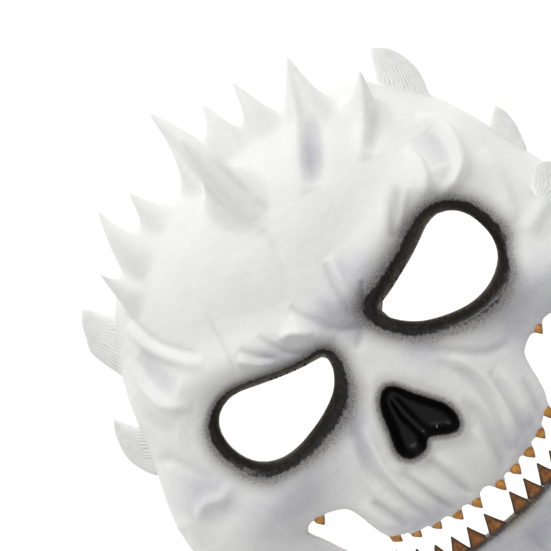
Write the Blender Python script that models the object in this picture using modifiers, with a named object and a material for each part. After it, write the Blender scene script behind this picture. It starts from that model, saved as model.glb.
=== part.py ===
"""Horned skull mask: a full-face moulded shell, open at the back, that rests on its rim.

Metres. +Z is out of the face, +Y is toward the crown, +X is the right side as the
mask faces the viewer. The pieces are laid out from the bridge of the nose, and a parent
then moves them all, so that the origin is the middle of the whole mask on the rim's plane.
"""

import math

import bmesh
import bpy
from mathutils import Matrix, Vector

MM = 0.001

# The head form
CRANIUM_HALF_WIDTH = 95 * MM
CROWN_HEIGHT = 100 * MM
CHIN_DROP = 132 * MM
DEPTH = 108 * MM
GIRTH_HEIGHT = 40 * MM
CHEEK_FLARE = 27 * MM
CHEEK_FLARE_Y = -48 * MM
CHEEK_FLARE_REACH = 50 * MM
OUTLINE_POWER = 2.25
DOME_POWER = 2.4
RIM_TUCK = 0.03
SKIRT_HEIGHT = 6 * MM
WALL = 3 * MM
CENTRE_Y = 14 * MM

# How the sheet's reach from the middle is shared out: dome, side, upright skirt
DOME_REACH = 0.78
SIDE_REACH = 0.90
SHEET_CELLS = 40
CENTRE_DENSITY = 0.55
RELIEF_FADE = 0.15
NORMAL_STEP = 0.004

# Openings and fits
GAP = 0.3 * MM
EYE_WIDTH = 54 * MM
EYE_HEIGHT = 34 * MM
EYE_CENTRE = 41.5 * MM
MOUTH_HALF_WIDTH = 68 * MM
MOUTH_TOP = -42 * MM
MOUTH_HEIGHT = 51 * MM
CUT_FROM = 30 * MM
CUT_TO = 130 * MM
CUT_STEPS = 4
WELD = 0.02 * MM

# Teeth
TOOTH_WIDTH = 4.6 * MM
TOOTH_LENGTH = 5.2 * MM
TOOTH_DEPTH = 3.4 * MM
CORNER_TOOTH_LENGTH = 4.2 * MM
LOWER_TOOTH_WIDTH = 6.6 * MM
LOWER_TOOTH_LENGTH = 7.6 * MM
TOOTH_SIDES = 8
TOOTH_TIP = 0.09
TOOTH_ROUNDING = 0.03
TOOTH_SWELL = 0.22
TOOTH_SETBACK = 0.55
ROOT_SAG = 0.07

# Fins and horns
FIN_THICKNESS = 4.4 * MM
FIN_BEVEL = 0.9 * MM
FIN_REACH = 10 * MM
FIN_STEPS = 2
HORN_SIDES = 10
HORN_RINGS = 5
HORN_TIP_RADIUS = 0.8 * MM
HORN_SEAT = 1.6 * MM
HORN_TAPER = 1.15
HORN_LEAN = 0.45

# Relief of the face: (name, x, y, reach x, reach y, turn in degrees, height)
# x and its reach are shares of CRANIUM_HALF_WIDTH, y and its reach of CROWN_HEIGHT, and
# the height is in walls.
# Each row is made on both sides of the middle.
RELIEF = [
    ("socket", 0.44, 0.00, 0.32, 0.19, 8, -2.6),
    ("brow", 0.48, 0.27, 0.36, 0.09, 14, 1.7),
    ("inner_brow", 0.14, 0.13, 0.13, 0.10, 0, 1.1),
    ("frown_hollow", 0.25, 0.36, 0.11, 0.12, 0, -0.5),
    ("brow_end", 0.78, 0.24, 0.13, 0.16, -20, 1.2),
    ("temple", 0.76, 0.52, 0.14, 0.22, 12, -1.5),
    ("cheekbone", 0.67, -0.27, 0.27, 0.10, -6, 1.7),
    ("cheek_hollow", 0.69, -0.48, 0.17, 0.12, 0, -1.2),
    ("jaw_side", 0.91, -0.58, 0.15, 0.24, 0, 1.2),
    ("maxilla", 0.21, -0.62, 0.32, 0.18, 0, 1.5),
    ("gum_end", 0.36, -0.64, 0.11, 0.14, 0, 0.5),
    ("chin", 0.17, -1.14, 0.25, 0.16, 0, 1.8),
    ("jaw_hollow", 0.51, -1.02, 0.17, 0.12, 0, -0.7),
]

# The nose: two lobes that run down and out from one apex. The plain numbers are shares of
# NOSE_RADIUS, and the last says how steeply the recess's side falls.
NOSE_X = -1.2 * MM
NOSE_APEX_Y = -21 * MM
NOSE_LENGTH = 29 * MM
NOSE_SPREAD = 10.5 * MM
NOSE_RADIUS = 6.2 * MM
NOSE_DEPTH = 8.0 * MM
NOSE_TOP_RADIUS = 0.55
NOSE_FOOT_RADIUS = 1.10
NOSE_TOP_OUT = 0.2
NOSE_TOP_DOWN = 0.6
NOSE_STEEPNESS = 5

# One eye hole, as shares of EYE_WIDTH and EYE_HEIGHT from its middle, from the inner corner
# round by the brow. x grows outward.
EYE_OUTLINE = [
    (-0.52, 0.04),
    (-0.44, 0.16),
    (-0.16, 0.27),
    (0.14, 0.44),
    (0.34, 0.47),
    (0.47, 0.29),
    (0.50, 0.00),
    (0.43, -0.34),
    (0.25, -0.52),
    (0.00, -0.52),
    (-0.26, -0.38),
    (-0.44, -0.16),
]

# The mouth's left half, from the middle of the upper gum to the middle of the lower one,
# as shares of MOUTH_HALF_WIDTH outward and of MOUTH_HEIGHT down from MOUTH_TOP
MOUTH_OUTLINE = [
    (0.00, 0.690),
    (0.20, 0.675),
    (0.38, 0.630),
    (0.54, 0.535),
    (0.625, 0.420),
    (0.660, 0.260),
    (0.690, 0.120),
    (0.790, 0.035),
    (0.900, 0.020),
    (1.000, 0.055),
    (0.965, 0.250),
    (0.900, 0.450),
    (0.770, 0.700),
    (0.560, 0.890),
    (0.300, 0.975),
    (0.00, 1.000),
]

# Horns: (name, base x, base y, tip x, tip y, tip rise, half width of the base)
# x and the half width are shares of CRANIUM_HALF_WIDTH, y and the rise of CROWN_HEIGHT.
HORNS = [
    ("side_left", -0.616, 0.745, -0.658, 0.890, 0.02, 0.067),
    ("back_left", -0.484, 0.840, -0.490, 1.090, -0.03, 0.097),
    ("crown_left", -0.316, 0.900, -0.332, 1.062, 0.00, 0.072),
    ("crown_middle", -0.011, 0.925, -0.042, 1.232, -0.06, 0.103),
    ("front_middle", 0.016, 0.780, 0.016, 1.050, 0.12, 0.097),
    ("crown_extra", 0.142, 0.920, 0.158, 1.132, -0.04, 0.072),
    ("crown_right", 0.295, 0.900, 0.316, 1.118, -0.02, 0.072),
    ("back_right", 0.484, 0.840, 0.563, 1.042, -0.02, 0.084),
    ("side_right", 0.679, 0.690, 0.758, 0.802, 0.02, 0.078),
]

# Fins: (name, sides, height on the wall, outline of the right one). The height is a share
# of DEPTH. The outline runs from the root's top round the free edge to the root's foot, as
# distances out from the wall in shares of FIN_REACH and places up the wall in shares of
# CROWN_HEIGHT. The stretch inside the head form is cut away, which seats each fin.
FINS = [
    ("upper", ("left", "right"), 0.430, [
        (-0.50, 0.735), (0.60, 0.770), (1.55, 0.830), (2.05, 0.840), (1.85, 0.780),
        (1.30, 0.660), (0.60, 0.560), (-0.50, 0.500),
    ]),
    ("middle", ("left",), 0.430, [
        (-0.50, 0.330), (0.30, 0.365), (0.85, 0.400), (1.10, 0.355), (1.15, 0.250),
        (0.80, 0.150), (0.25, 0.085), (-0.50, 0.100),
    ]),
    ("middle", ("right",), 0.430, [
        (-0.50, 0.290), (0.30, 0.310), (0.85, 0.345), (1.15, 0.310), (1.25, 0.230),
        (0.90, 0.160), (0.30, 0.115), (-0.50, 0.125),
    ]),
    ("lower", ("right",), 0.690, [
        (-0.50, -0.025), (0.45, 0.025), (0.95, 0.055), (1.35, 0.020), (1.55, -0.070),
        (1.45, -0.170), (1.00, -0.220), (-0.50, -0.190),
    ]),
]

# Teeth: distance of each from the middle, as shares of MOUTH_HALF_WIDTH
TEETH = {
    ("upper", "left"): (0.094, 0.224, 0.353, 0.471, 0.565),
    ("upper", "right"): (0.082, 0.206, 0.335, 0.465, 0.559),
    ("corner", "left"): (0.860,),
    ("corner", "right"): (0.840,),
    ("lower", "left"): (0.118, 0.247, 0.353, 0.465, 0.585, 0.700),
    ("lower", "right"): (0.076, 0.188, 0.312, 0.435, 0.560, 0.675),
}

# Colours: the shell is near white, the teeth are amber above and brown below
BONE_WHITE = (0.88, 0.88, 0.87)
FIN_WHITE = (0.82, 0.82, 0.81)
AMBER = (0.50, 0.22, 0.04)
TOOTH_BROWN = (0.20, 0.07, 0.02)


def clear_scene():
    for thing in list(bpy.data.objects):
        bpy.data.objects.remove(thing, do_unlink=True)


def new_collection(name):
    group = bpy.data.collections.new(name)
    bpy.context.scene.collection.children.link(group)
    return group


def material(name, colour, roughness):
    mat = bpy.data.materials.new(name)
    mat.use_nodes = True
    shader = mat.node_tree.nodes["Principled BSDF"]
    shader.inputs["Base Color"].default_value = (*colour, 1.0)
    shader.inputs["Roughness"].default_value = roughness
    shader.inputs["Metallic"].default_value = 0.0
    mat.diffuse_color = (*colour, 1.0)
    return mat


def outline_radius(angle):
    """Distance from the axis to the girth's outline at an angle round it."""
    across = abs(math.cos(angle)) / CRANIUM_HALF_WIDTH
    along_size = CROWN_HEIGHT - CENTRE_Y if math.sin(angle) > 0 else CHIN_DROP + CENTRE_Y
    along = abs(math.sin(angle)) / along_size
    radius = (across ** OUTLINE_POWER + along ** OUTLINE_POWER) ** (-1 / OUTLINE_POWER)
    y = CENTRE_Y + radius * math.sin(angle)
    flare = math.exp(-(((y - CHEEK_FLARE_Y) / CHEEK_FLARE_REACH) ** 2))
    return radius + CHEEK_FLARE * flare * abs(math.cos(angle))


def head_point(angle, reach):
    """The plain head form: reach runs from 0 at the middle of the face to 1 at the rim."""
    rise = DEPTH - GIRTH_HEIGHT
    if reach < DOME_REACH:
        share = math.sin(reach / DOME_REACH * math.pi / 2)
        height = GIRTH_HEIGHT + rise * math.sqrt(max(0.0, 1 - share ** DOME_POWER))
    elif reach < SIDE_REACH:
        part = (reach - DOME_REACH) / (SIDE_REACH - DOME_REACH)
        share = 1 - RIM_TUCK * part * part
        height = GIRTH_HEIGHT + (SKIRT_HEIGHT - GIRTH_HEIGHT) * part
    else:
        part = (reach - SIDE_REACH) / (1 - SIDE_REACH)
        share = 1 - RIM_TUCK
        height = SKIRT_HEIGHT * (1 - part)
    radius = outline_radius(angle) * share
    x = radius * math.cos(angle)
    y = CENTRE_Y + radius * math.sin(angle)
    return Vector((x, y, height))


def place_of(x, y):
    """The angle and reach at which the dome stands over the point x, y."""
    angle = math.atan2(y - CENTRE_Y, x)
    share = min(0.999, math.hypot(x, y - CENTRE_Y) / outline_radius(angle))
    return angle, math.asin(share) / (math.pi / 2) * DOME_REACH


def head_normal(angle, reach):
    step = NORMAL_STEP
    near_reach = min(max(reach, step * 2), 1 - step)
    along = head_point(angle, near_reach + step) - head_point(angle, near_reach - step)
    turn = head_point(angle + step, near_reach) - head_point(angle - step, near_reach)
    return along.cross(turn).normalized()


def hump(x, y, row):
    """Height of one relief row at x, y, where the row stands on the right side."""
    name, centre_x, centre_y, reach_x, reach_y, turn, height = row
    dx = x / CRANIUM_HALF_WIDTH - centre_x
    dy = y / CROWN_HEIGHT - centre_y
    cos_turn, sin_turn = math.cos(math.radians(turn)), math.sin(math.radians(turn))
    along = (dx * cos_turn + dy * sin_turn) / reach_x
    across = (dy * cos_turn - dx * sin_turn) / reach_y
    return height * WALL * math.exp(-(along * along + across * across))


def nose_hollow(x, y):
    """Depth of the nose recess: the nearer of two slanting strokes sets it."""
    depth = 0.0
    for side in (-1, 1):
        foot = Vector((NOSE_X + side * NOSE_SPREAD, NOSE_APEX_Y - NOSE_LENGTH + NOSE_RADIUS))
        top = Vector((NOSE_X + side * NOSE_RADIUS * NOSE_TOP_OUT, NOSE_APEX_Y - NOSE_RADIUS * NOSE_TOP_DOWN))
        stroke = foot - top
        point = Vector((x, y))
        part = min(1.0, max(0.0, (point - top).dot(stroke) / stroke.length_squared))
        radius = NOSE_RADIUS * (NOSE_TOP_RADIUS + (NOSE_FOOT_RADIUS - NOSE_TOP_RADIUS) * part)
        away = (point - top - stroke * part).length / radius
        depth = max(depth, NOSE_DEPTH / (1 + away ** NOSE_STEEPNESS))
    return depth


def relief(x, y):
    total = sum(hump(abs(x), y, row) for row in RELIEF)
    return total - nose_hollow(x, y)


def sculpted_point(across, along, lift):
    """A point of the sheet, from its place on a square that is laid on the head form."""
    disc_x = across * math.sqrt(1 - along * along / 2)
    disc_y = along * math.sqrt(1 - across * across / 2)
    reach = min(1.0, math.hypot(disc_x, disc_y))
    angle = math.atan2(disc_y, disc_x)
    plain = head_point(angle, reach)
    fade = min(1.0, max(0.0, (DOME_REACH - reach) / (DOME_REACH * RELIEF_FADE)))
    height = relief(plain.x, plain.y) * fade * fade * (3 - 2 * fade)
    return plain + head_normal(angle, reach) * (height + lift)


def spread(place):
    return place * (CENTRE_DENSITY + (1 - CENTRE_DENSITY) * place * place)


def face_sheet(name, lift):
    """An open sheet over the whole head form, as a grid that is moved onto it."""
    bm = bmesh.new()
    bmesh.ops.create_grid(bm, x_segments=SHEET_CELLS, y_segments=SHEET_CELLS, size=1.0)
    for vert in bm.verts:
        vert.co = sculpted_point(spread(vert.co.x), spread(vert.co.y), lift)
    bmesh.ops.recalc_face_normals(bm, faces=bm.faces)
    top = max(bm.faces, key=lambda face: face.calc_center_median().z)
    if top.normal.z < 0:
        bmesh.ops.reverse_faces(bm, faces=bm.faces)
    mesh = bpy.data.meshes.new(name)
    bm.to_mesh(mesh)
    bm.free()
    return bpy.data.objects.new(name, mesh)


def head_block(group):
    """The head form filled to below the rim, a gap larger all round: it seats the fins."""
    block = face_sheet("head_block", GAP)
    bm = bmesh.new()
    bm.from_mesh(block.data)
    rim = [edge for edge in bm.edges if edge.is_boundary]
    made = bmesh.ops.extrude_edge_only(bm, edges=rim)["geom"]
    for vert in made:
        if isinstance(vert, bmesh.types.BMVert):
            vert.co.z -= WALL
    bmesh.ops.holes_fill(bm, edges=[edge for edge in bm.edges if edge.is_boundary], sides=0)
    bmesh.ops.recalc_face_normals(bm, faces=bm.faces)
    bm.to_mesh(block.data)
    bm.free()
    hide_cutter(block)
    group.objects.link(block)
    return block


def hide_cutter(cutter):
    cutter.hide_render = True
    cutter.display_type = "WIRE"


def outline_solid(name, points, half_thickness, height, steps, bevel=0.0):
    """A smooth closed outline as a flat curve, extruded, then turned into a welded mesh."""
    curve = bpy.data.curves.new(name, "CURVE")
    curve.dimensions = "2D"
    curve.fill_mode = "BOTH"
    curve.extrude = half_thickness - bevel
    curve.bevel_depth = bevel
    curve.bevel_resolution = 1
    curve.offset = -bevel
    curve.resolution_u = steps
    spline = curve.splines.new("BEZIER")
    spline.bezier_points.add(len(points) - 1)
    for knot, (x, y) in zip(spline.bezier_points, points):
        knot.co = (x, y, 0)
        knot.handle_left_type = "AUTO"
        knot.handle_right_type = "AUTO"
    spline.use_cyclic_u = True
    holder = bpy.data.objects.new(name + "_outline", curve)
    holder.location = (0, 0, height)
    bpy.context.scene.collection.objects.link(holder)
    bpy.context.view_layer.update()
    evaluated = holder.evaluated_get(bpy.context.evaluated_depsgraph_get())
    mesh = bpy.data.meshes.new_from_object(evaluated)
    solid = bpy.data.objects.new(name, mesh)
    solid.matrix_world = holder.matrix_world.copy()
    bpy.data.objects.remove(holder, do_unlink=True)
    bm = bmesh.new()
    bm.from_mesh(mesh)
    bmesh.ops.remove_doubles(bm, verts=bm.verts, dist=WELD)
    bmesh.ops.recalc_face_normals(bm, faces=bm.faces)
    bm.to_mesh(mesh)
    bm.free()
    return solid


def cutting_curve(name, points, group):
    middle = (CUT_FROM + CUT_TO) / 2
    solid = outline_solid(name, points, (CUT_TO - CUT_FROM) / 2, middle, CUT_STEPS)
    hide_cutter(solid)
    group.objects.link(solid)
    return solid


def eye_points(side):
    points = [
        (side * (EYE_CENTRE + x * EYE_WIDTH), y * EYE_HEIGHT)
        for x, y in EYE_OUTLINE
    ]
    return points if side < 0 else points[::-1]


def mouth_half():
    return [
        (x * MOUTH_HALF_WIDTH, MOUTH_TOP - y * MOUTH_HEIGHT)
        for x, y in MOUTH_OUTLINE
    ]


def mouth_points():
    half = mouth_half()
    other = [(-x, y) for x, y in half[1:-1]]
    return half + other[::-1]


def boolean(target, tool, operation, name):
    mod = target.modifiers.new(name, "BOOLEAN")
    mod.operation = operation
    mod.solver = "EXACT"
    mod.object = tool
    return mod


def horn(row, group):
    """A curved cone, lofted from a round seat inside the wall to a small blunt tip."""
    name, base_x, base_y, tip_x, tip_y, rise, half_width = row
    angle, reach = place_of(base_x * CRANIUM_HALF_WIDTH, base_y * CROWN_HEIGHT)
    normal = head_normal(angle, reach)
    seat = head_point(angle, reach) - normal * HORN_SEAT
    tip = Vector((
        tip_x * CRANIUM_HALF_WIDTH, tip_y * CROWN_HEIGHT, seat.z + rise * CROWN_HEIGHT
    ))
    lean = normal * (tip - seat).length * HORN_LEAN
    side = normal.cross(Vector((0, 0, 1))).normalized()
    bm = bmesh.new()
    rings = []
    for level in range(HORN_RINGS):
        part = level / (HORN_RINGS - 1)
        middle = seat.lerp(seat + lean, part).lerp((seat + lean).lerp(tip, part), part)
        heading = (normal.lerp((tip - seat - lean).normalized(), part)).normalized()
        flat_side = (side - heading * side.dot(heading)).normalized()
        flat_up = heading.cross(flat_side)
        base_radius = half_width * CRANIUM_HALF_WIDTH
        radius = base_radius * (1 - part) ** HORN_TAPER + HORN_TIP_RADIUS * part
        ring = []
        for corner in range(HORN_SIDES):
            turn = math.tau * corner / HORN_SIDES
            offset = flat_side * math.cos(turn) + flat_up * math.sin(turn)
            ring.append(bm.verts.new(middle + offset * radius))
        rings.append(ring)
    for low, high in zip(rings, rings[1:]):
        for corner in range(HORN_SIDES):
            after = (corner + 1) % HORN_SIDES
            bm.faces.new((low[corner], low[after], high[after], high[corner]))
    bm.faces.new(rings[0][::-1])
    bm.faces.new(rings[-1])
    bmesh.ops.recalc_face_normals(bm, faces=bm.faces)
    mesh = bpy.data.meshes.new("horn_" + name)
    bm.to_mesh(mesh)
    bm.free()
    cone = bpy.data.objects.new("horn_" + name, mesh)
    hide_cutter(cone)
    group.objects.link(cone)
    return cone


def skull_shell(parts, cutters):
    shell = face_sheet("skull_shell", 0.0)
    parts.objects.link(shell)
    wall = shell.modifiers.new("wall", "SOLIDIFY")
    wall.thickness = WALL
    wall.offset = -1.0
    wall.use_even_offset = True
    for row in HORNS:
        boolean(shell, horn(row, cutters), "UNION", "horn_" + row[0])
    for side, label in ((-1, "left"), (1, "right")):
        cutter = cutting_curve("eye_cut_" + label, eye_points(side), cutters)
        boolean(shell, cutter, "DIFFERENCE", "eye_" + label)
    mouth = cutting_curve("mouth_cut", mouth_points(), cutters)
    boolean(shell, mouth, "DIFFERENCE", "mouth")
    shell.data.materials.append(material("bone_white_latex", BONE_WHITE, 0.6))
    shell.data.shade_smooth()
    return shell


def wall_x(y, height):
    """How far out the head form stands at y, on the level at a height above the girth."""
    lift = (height - GIRTH_HEIGHT) / (DEPTH - GIRTH_HEIGHT)
    share = (1 - lift * lift) ** (1 / DOME_POWER)
    low, high = -math.pi / 2, math.pi / 2
    while high - low > 0.0001:
        middle = (low + high) / 2
        if CENTRE_Y + outline_radius(middle) * share * math.sin(middle) < y:
            low = middle
        else:
            high = middle
    return outline_radius(low) * share * math.cos(low)


def fins(parts, block):
    mat = material("fin_white_latex", FIN_WHITE, 0.65)
    for name, sides, level, outline in FINS:
        height = level * DEPTH
        places = [(out * FIN_REACH, up * CROWN_HEIGHT) for out, up in outline]
        for label in sides:
            side = -1 if label == "left" else 1
            points = [(side * (wall_x(y, height) + out), y) for out, y in places]
            fin = outline_solid(
                f"fin_{label}_{name}", points, FIN_THICKNESS / 2, height, FIN_STEPS, FIN_BEVEL
            )
            parts.objects.link(fin)
            boolean(fin, block, "DIFFERENCE", "seat")
            fin.data.materials.append(mat)


def surface_height(x, y):
    angle, reach = place_of(x, y)
    return (head_point(angle, reach) + head_normal(angle, reach) * relief(x, y)).z


def smooth_half(steps):
    """The mouth's right half as close points along a smooth curve through its outline."""
    knots = mouth_half()
    first = (-knots[1][0], knots[1][1])
    last = (-knots[-2][0], knots[-2][1])
    knots = [first] + knots + [last]
    points = []
    for a, b, c, d in zip(knots, knots[1:], knots[2:], knots[3:]):
        for step in range(steps):
            t = step / steps
            points.append(tuple(
                0.5 * (2 * q + (r - p) * t + (2 * p - 5 * q + 4 * r - s) * t * t
                       + (3 * q - p - 3 * r + s) * t ** 3)
                for p, q, r, s in zip(a, b, c, d)
            ))
    points.append(knots[-2])
    return points


def edge_at(x, upper):
    """The mouth's edge at a distance from the middle: its point and its slope angle."""
    points = smooth_half(8)
    turn = max(range(len(points)), key=lambda index: points[index][0])
    stretch = points[:turn] if upper else points[turn:][::-1]
    for (x0, y0), (x1, y1) in zip(stretch, stretch[1:]):
        if x0 <= x <= x1:
            part = (x - x0) / (x1 - x0)
            return y0 + (y1 - y0) * part, math.atan2(y1 - y0, x1 - x0)
    raise ValueError("the place is past the mouth's corner")


def tooth(name, x, upper, width, length, mat, parts):
    """A flattened cone whose root lies a gap away from the cut edge of the gum."""
    y, slope = edge_at(abs(x), upper)
    slope = slope if x > 0 else -slope
    way = -1 if upper else 1
    heading = Vector((way * -math.sin(slope), way * math.cos(slope), 0))
    bm = bmesh.new()
    bmesh.ops.create_cone(
        bm, cap_ends=True, segments=TOOTH_SIDES,
        radius1=0.5, radius2=TOOTH_TIP, depth=1.0,
    )
    ridge = [edge for edge in bm.edges if abs(edge.verts[0].co.z - edge.verts[1].co.z) < 0.1
             and edge.verts[0].co.z > 0]
    bmesh.ops.bevel(bm, geom=ridge, offset=TOOTH_ROUNDING, segments=1, affect="EDGES")
    for vert in bm.verts:
        part = vert.co.z + 0.5
        swell = 1 + TOOTH_SWELL * math.sin(math.pi * part)
        vert.co = Vector((
            vert.co.x * width * swell, vert.co.y * TOOTH_DEPTH * swell, part * length
        ))
    mesh = bpy.data.meshes.new(name)
    bm.to_mesh(mesh)
    bm.free()
    piece = bpy.data.objects.new(name, mesh)
    depth_axis = Vector((0, 0, 1))
    across = heading.cross(depth_axis)
    turn = Matrix((across, depth_axis, heading)).transposed()
    if turn.determinant() < 0:
        turn = Matrix((-across, depth_axis, heading)).transposed()
    piece.rotation_euler = turn.to_euler()
    seat = Vector((x, y, 0)) + heading * (GAP + width * ROOT_SAG)
    seat.z = surface_height(x, y) - WALL * TOOTH_SETBACK
    piece.location = seat
    parts.objects.link(piece)
    piece.data.materials.append(mat)
    return piece


def teeth(parts):
    amber = material("amber_tooth_paint", AMBER, 0.35)
    brown = material("brown_tooth_paint", TOOTH_BROWN, 0.4)
    kinds = {
        "upper": (True, TOOTH_WIDTH, TOOTH_LENGTH, amber),
        "corner": (True, TOOTH_WIDTH, CORNER_TOOTH_LENGTH, amber),
        "lower": (False, LOWER_TOOTH_WIDTH, LOWER_TOOTH_LENGTH, brown),
    }
    for (kind, label), places in TEETH.items():
        upper, width, length, mat = kinds[kind]
        side = -1 if label == "left" else 1
        for number, place in enumerate(places, 1):
            name = f"tooth_{kind}_{label}_{number}"
            tooth(name, side * place * MOUTH_HALF_WIDTH, upper, width, length, mat, parts)


def centre_on_origin(parts, cutters):
    """Parent everything to an empty, and move it so that the parts stand round the origin."""
    bpy.context.view_layer.update()
    depsgraph = bpy.context.evaluated_depsgraph_get()
    corners = []
    for piece in parts.objects:
        evaluated = piece.evaluated_get(depsgraph)
        corners += [evaluated.matrix_world @ Vector(corner) for corner in evaluated.bound_box]
    middle = [
        (min(corner[axis] for corner in corners) + max(corner[axis] for corner in corners)) / 2
        for axis in (0, 1)
    ]
    frame = bpy.data.objects.new("mask_frame", None)
    bpy.context.scene.collection.objects.link(frame)
    for piece in list(parts.objects) + list(cutters.objects):
        piece.parent = frame
    frame.location = (-middle[0], -middle[1], 0)
    bpy.context.view_layer.update()


def main():
    clear_scene()
    parts = new_collection("skull_mask")
    cutters = new_collection("cutters")
    skull_shell(parts, cutters)
    fins(parts, head_block(cutters))
    teeth(parts)
    centre_on_origin(parts, cutters)


main()
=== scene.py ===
"""Horned skull mask: its moulded latex skin, side fins and painted teeth, on a pale floor.

Metres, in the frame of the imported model. Sizes that follow the face are laid out from the
bridge of the nose, as in the part's source, and then moved to where the bridge stands.
"""

import math

import bmesh
import bpy
import numpy as np
from mathutils import Matrix, Vector


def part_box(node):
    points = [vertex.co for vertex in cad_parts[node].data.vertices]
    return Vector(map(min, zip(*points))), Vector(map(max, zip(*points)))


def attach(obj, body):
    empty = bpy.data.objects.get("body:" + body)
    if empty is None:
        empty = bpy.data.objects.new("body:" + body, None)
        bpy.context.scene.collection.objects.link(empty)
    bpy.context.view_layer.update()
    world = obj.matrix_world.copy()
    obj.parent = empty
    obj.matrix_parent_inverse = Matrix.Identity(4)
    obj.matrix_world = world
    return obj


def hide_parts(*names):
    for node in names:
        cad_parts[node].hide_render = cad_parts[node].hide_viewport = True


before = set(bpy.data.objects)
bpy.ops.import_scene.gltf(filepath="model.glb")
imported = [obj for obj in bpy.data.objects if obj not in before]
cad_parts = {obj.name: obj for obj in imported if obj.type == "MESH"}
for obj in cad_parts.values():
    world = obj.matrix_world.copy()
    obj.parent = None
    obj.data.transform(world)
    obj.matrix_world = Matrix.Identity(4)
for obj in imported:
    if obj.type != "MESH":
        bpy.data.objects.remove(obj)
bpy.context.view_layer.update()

bl_info = {
    "name": "Horned Skull Mask",
    "version": (1, 0, 0),
    "blender": (4, 5, 0),
    "location": "3D View > Sidebar > Skull Mask",
    "description": "Builds the skin, fins, teeth and stage of a horned skull mask",
    "category": "Add Mesh",
}

MM = 0.001

# Where the bridge of the nose stands in the frame
BRIDGE_X = sum(corner.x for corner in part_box("skull_shell")) / 2
BRIDGE_Y = 4.10 * MM

# The head form, as in the part's source
CRANIUM_HALF_WIDTH = 95 * MM
CROWN_HEIGHT = 100 * MM
CHIN_DROP = 132 * MM
DEPTH = 108 * MM
GIRTH_HEIGHT = 40 * MM
CHEEK_FLARE = 27 * MM
CHEEK_FLARE_Y = -48 * MM
CHEEK_FLARE_REACH = 50 * MM
OUTLINE_POWER = 2.25
DOME_POWER = 2.4
RIM_TUCK = 0.03
SKIRT_HEIGHT = 6 * MM
CENTRE_Y = 14 * MM
DOME_REACH = 0.78
SIDE_REACH = 0.90
OUTERMOST_SHARE = 0.999

# The left cheek stands out further than the right one, in the skin only
LEFT_CHEEK = 5.5 * MM
LEFT_CHEEK_Y = -8 * MM
LEFT_CHEEK_REACH = 24 * MM

# How finely the skin is meshed
OUTER_CELLS = 168
INNER_CELLS = 84
CENTRE_DENSITY = 0.62
NORMAL_STEP = 0.004
RELIEF_FADE = 0.15
WALL_SAMPLES = 2001

# Where the skin gets a finer mesh, as half widths and spans of Y from the nose's bridge
FACE_HALF_WIDTH = 74 * MM
FACE_SPAN = (-98 * MM, 30 * MM)
GUM_HALF_WIDTH = 44 * MM
GUM_SPAN = (-83.5 * MM, -68.5 * MM)
STROKE_NEAR = 1.2
STROKE_NEAR_LEAST = 1.6
HORN_NEAR = 1.5
HORN_TIP_NEAR = 0.5

# The rim, the mouth and two eye holes
OPEN_RINGS = 4

# How an opening's edge is laid on its outline, and the mesh round it evened out
CUT_MARGIN = 3 * MM
EASE_RINGS = 4
EASE_TURNS = 8
EASE_STEP = 0.5

# Rolled-in edges of the openings
LID_REACH = 6.5 * MM
LID_DROP = 4.6 * MM
LIP_REACH = 2.6 * MM
LIP_DROP = 1.1 * MM
CUT_CORNER = 0.4 * MM

# The nose recess
NOSE_DEPTH = 8.5 * MM
NOSE_SLOPE = 5.0 * MM
NOSE_STEEPNESS = 2.2
NOSE_STEPS = 6
SEPTUM = [(-3.6, -22.0), (-4.4, -34.0), (-3.4, -46.0)]
SEPTUM_HEIGHT = 3.4 * MM
SEPTUM_WIDTH = 2.0 * MM

# Relief of the face: (name, x, y, reach x, reach y, turn in degrees, height)
# x and its reach are shares of CRANIUM_HALF_WIDTH, y and its reach of CROWN_HEIGHT, and
# the height is in walls. Each row is made on both sides of the middle.
RELIEF = [
    ("socket", 0.44, 0.00, 0.32, 0.19, 8, -2.6),
    ("brow", 0.48, 0.27, 0.36, 0.09, 14, 1.7),
    ("inner_brow", 0.14, 0.13, 0.13, 0.10, 0, 1.1),
    ("frown_hollow", 0.25, 0.36, 0.11, 0.12, 0, -0.5),
    ("brow_end", 0.78, 0.24, 0.13, 0.16, -20, 1.2),
    ("temple", 0.76, 0.52, 0.14, 0.22, 12, -1.5),
    ("cheekbone", 0.67, -0.27, 0.27, 0.10, -6, 1.7),
    ("cheek_hollow", 0.69, -0.48, 0.17, 0.12, 0, -1.2),
    ("jaw_side", 0.91, -0.58, 0.15, 0.24, 0, 1.2),
    ("maxilla", 0.21, -0.62, 0.32, 0.18, 0, 1.5),
    ("gum_end", 0.36, -0.64, 0.11, 0.14, 0, 0.5),
    ("chin", 0.17, -1.14, 0.25, 0.16, 0, 1.8),
    ("jaw_hollow", 0.51, -1.02, 0.17, 0.12, 0, -0.7),
]

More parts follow.
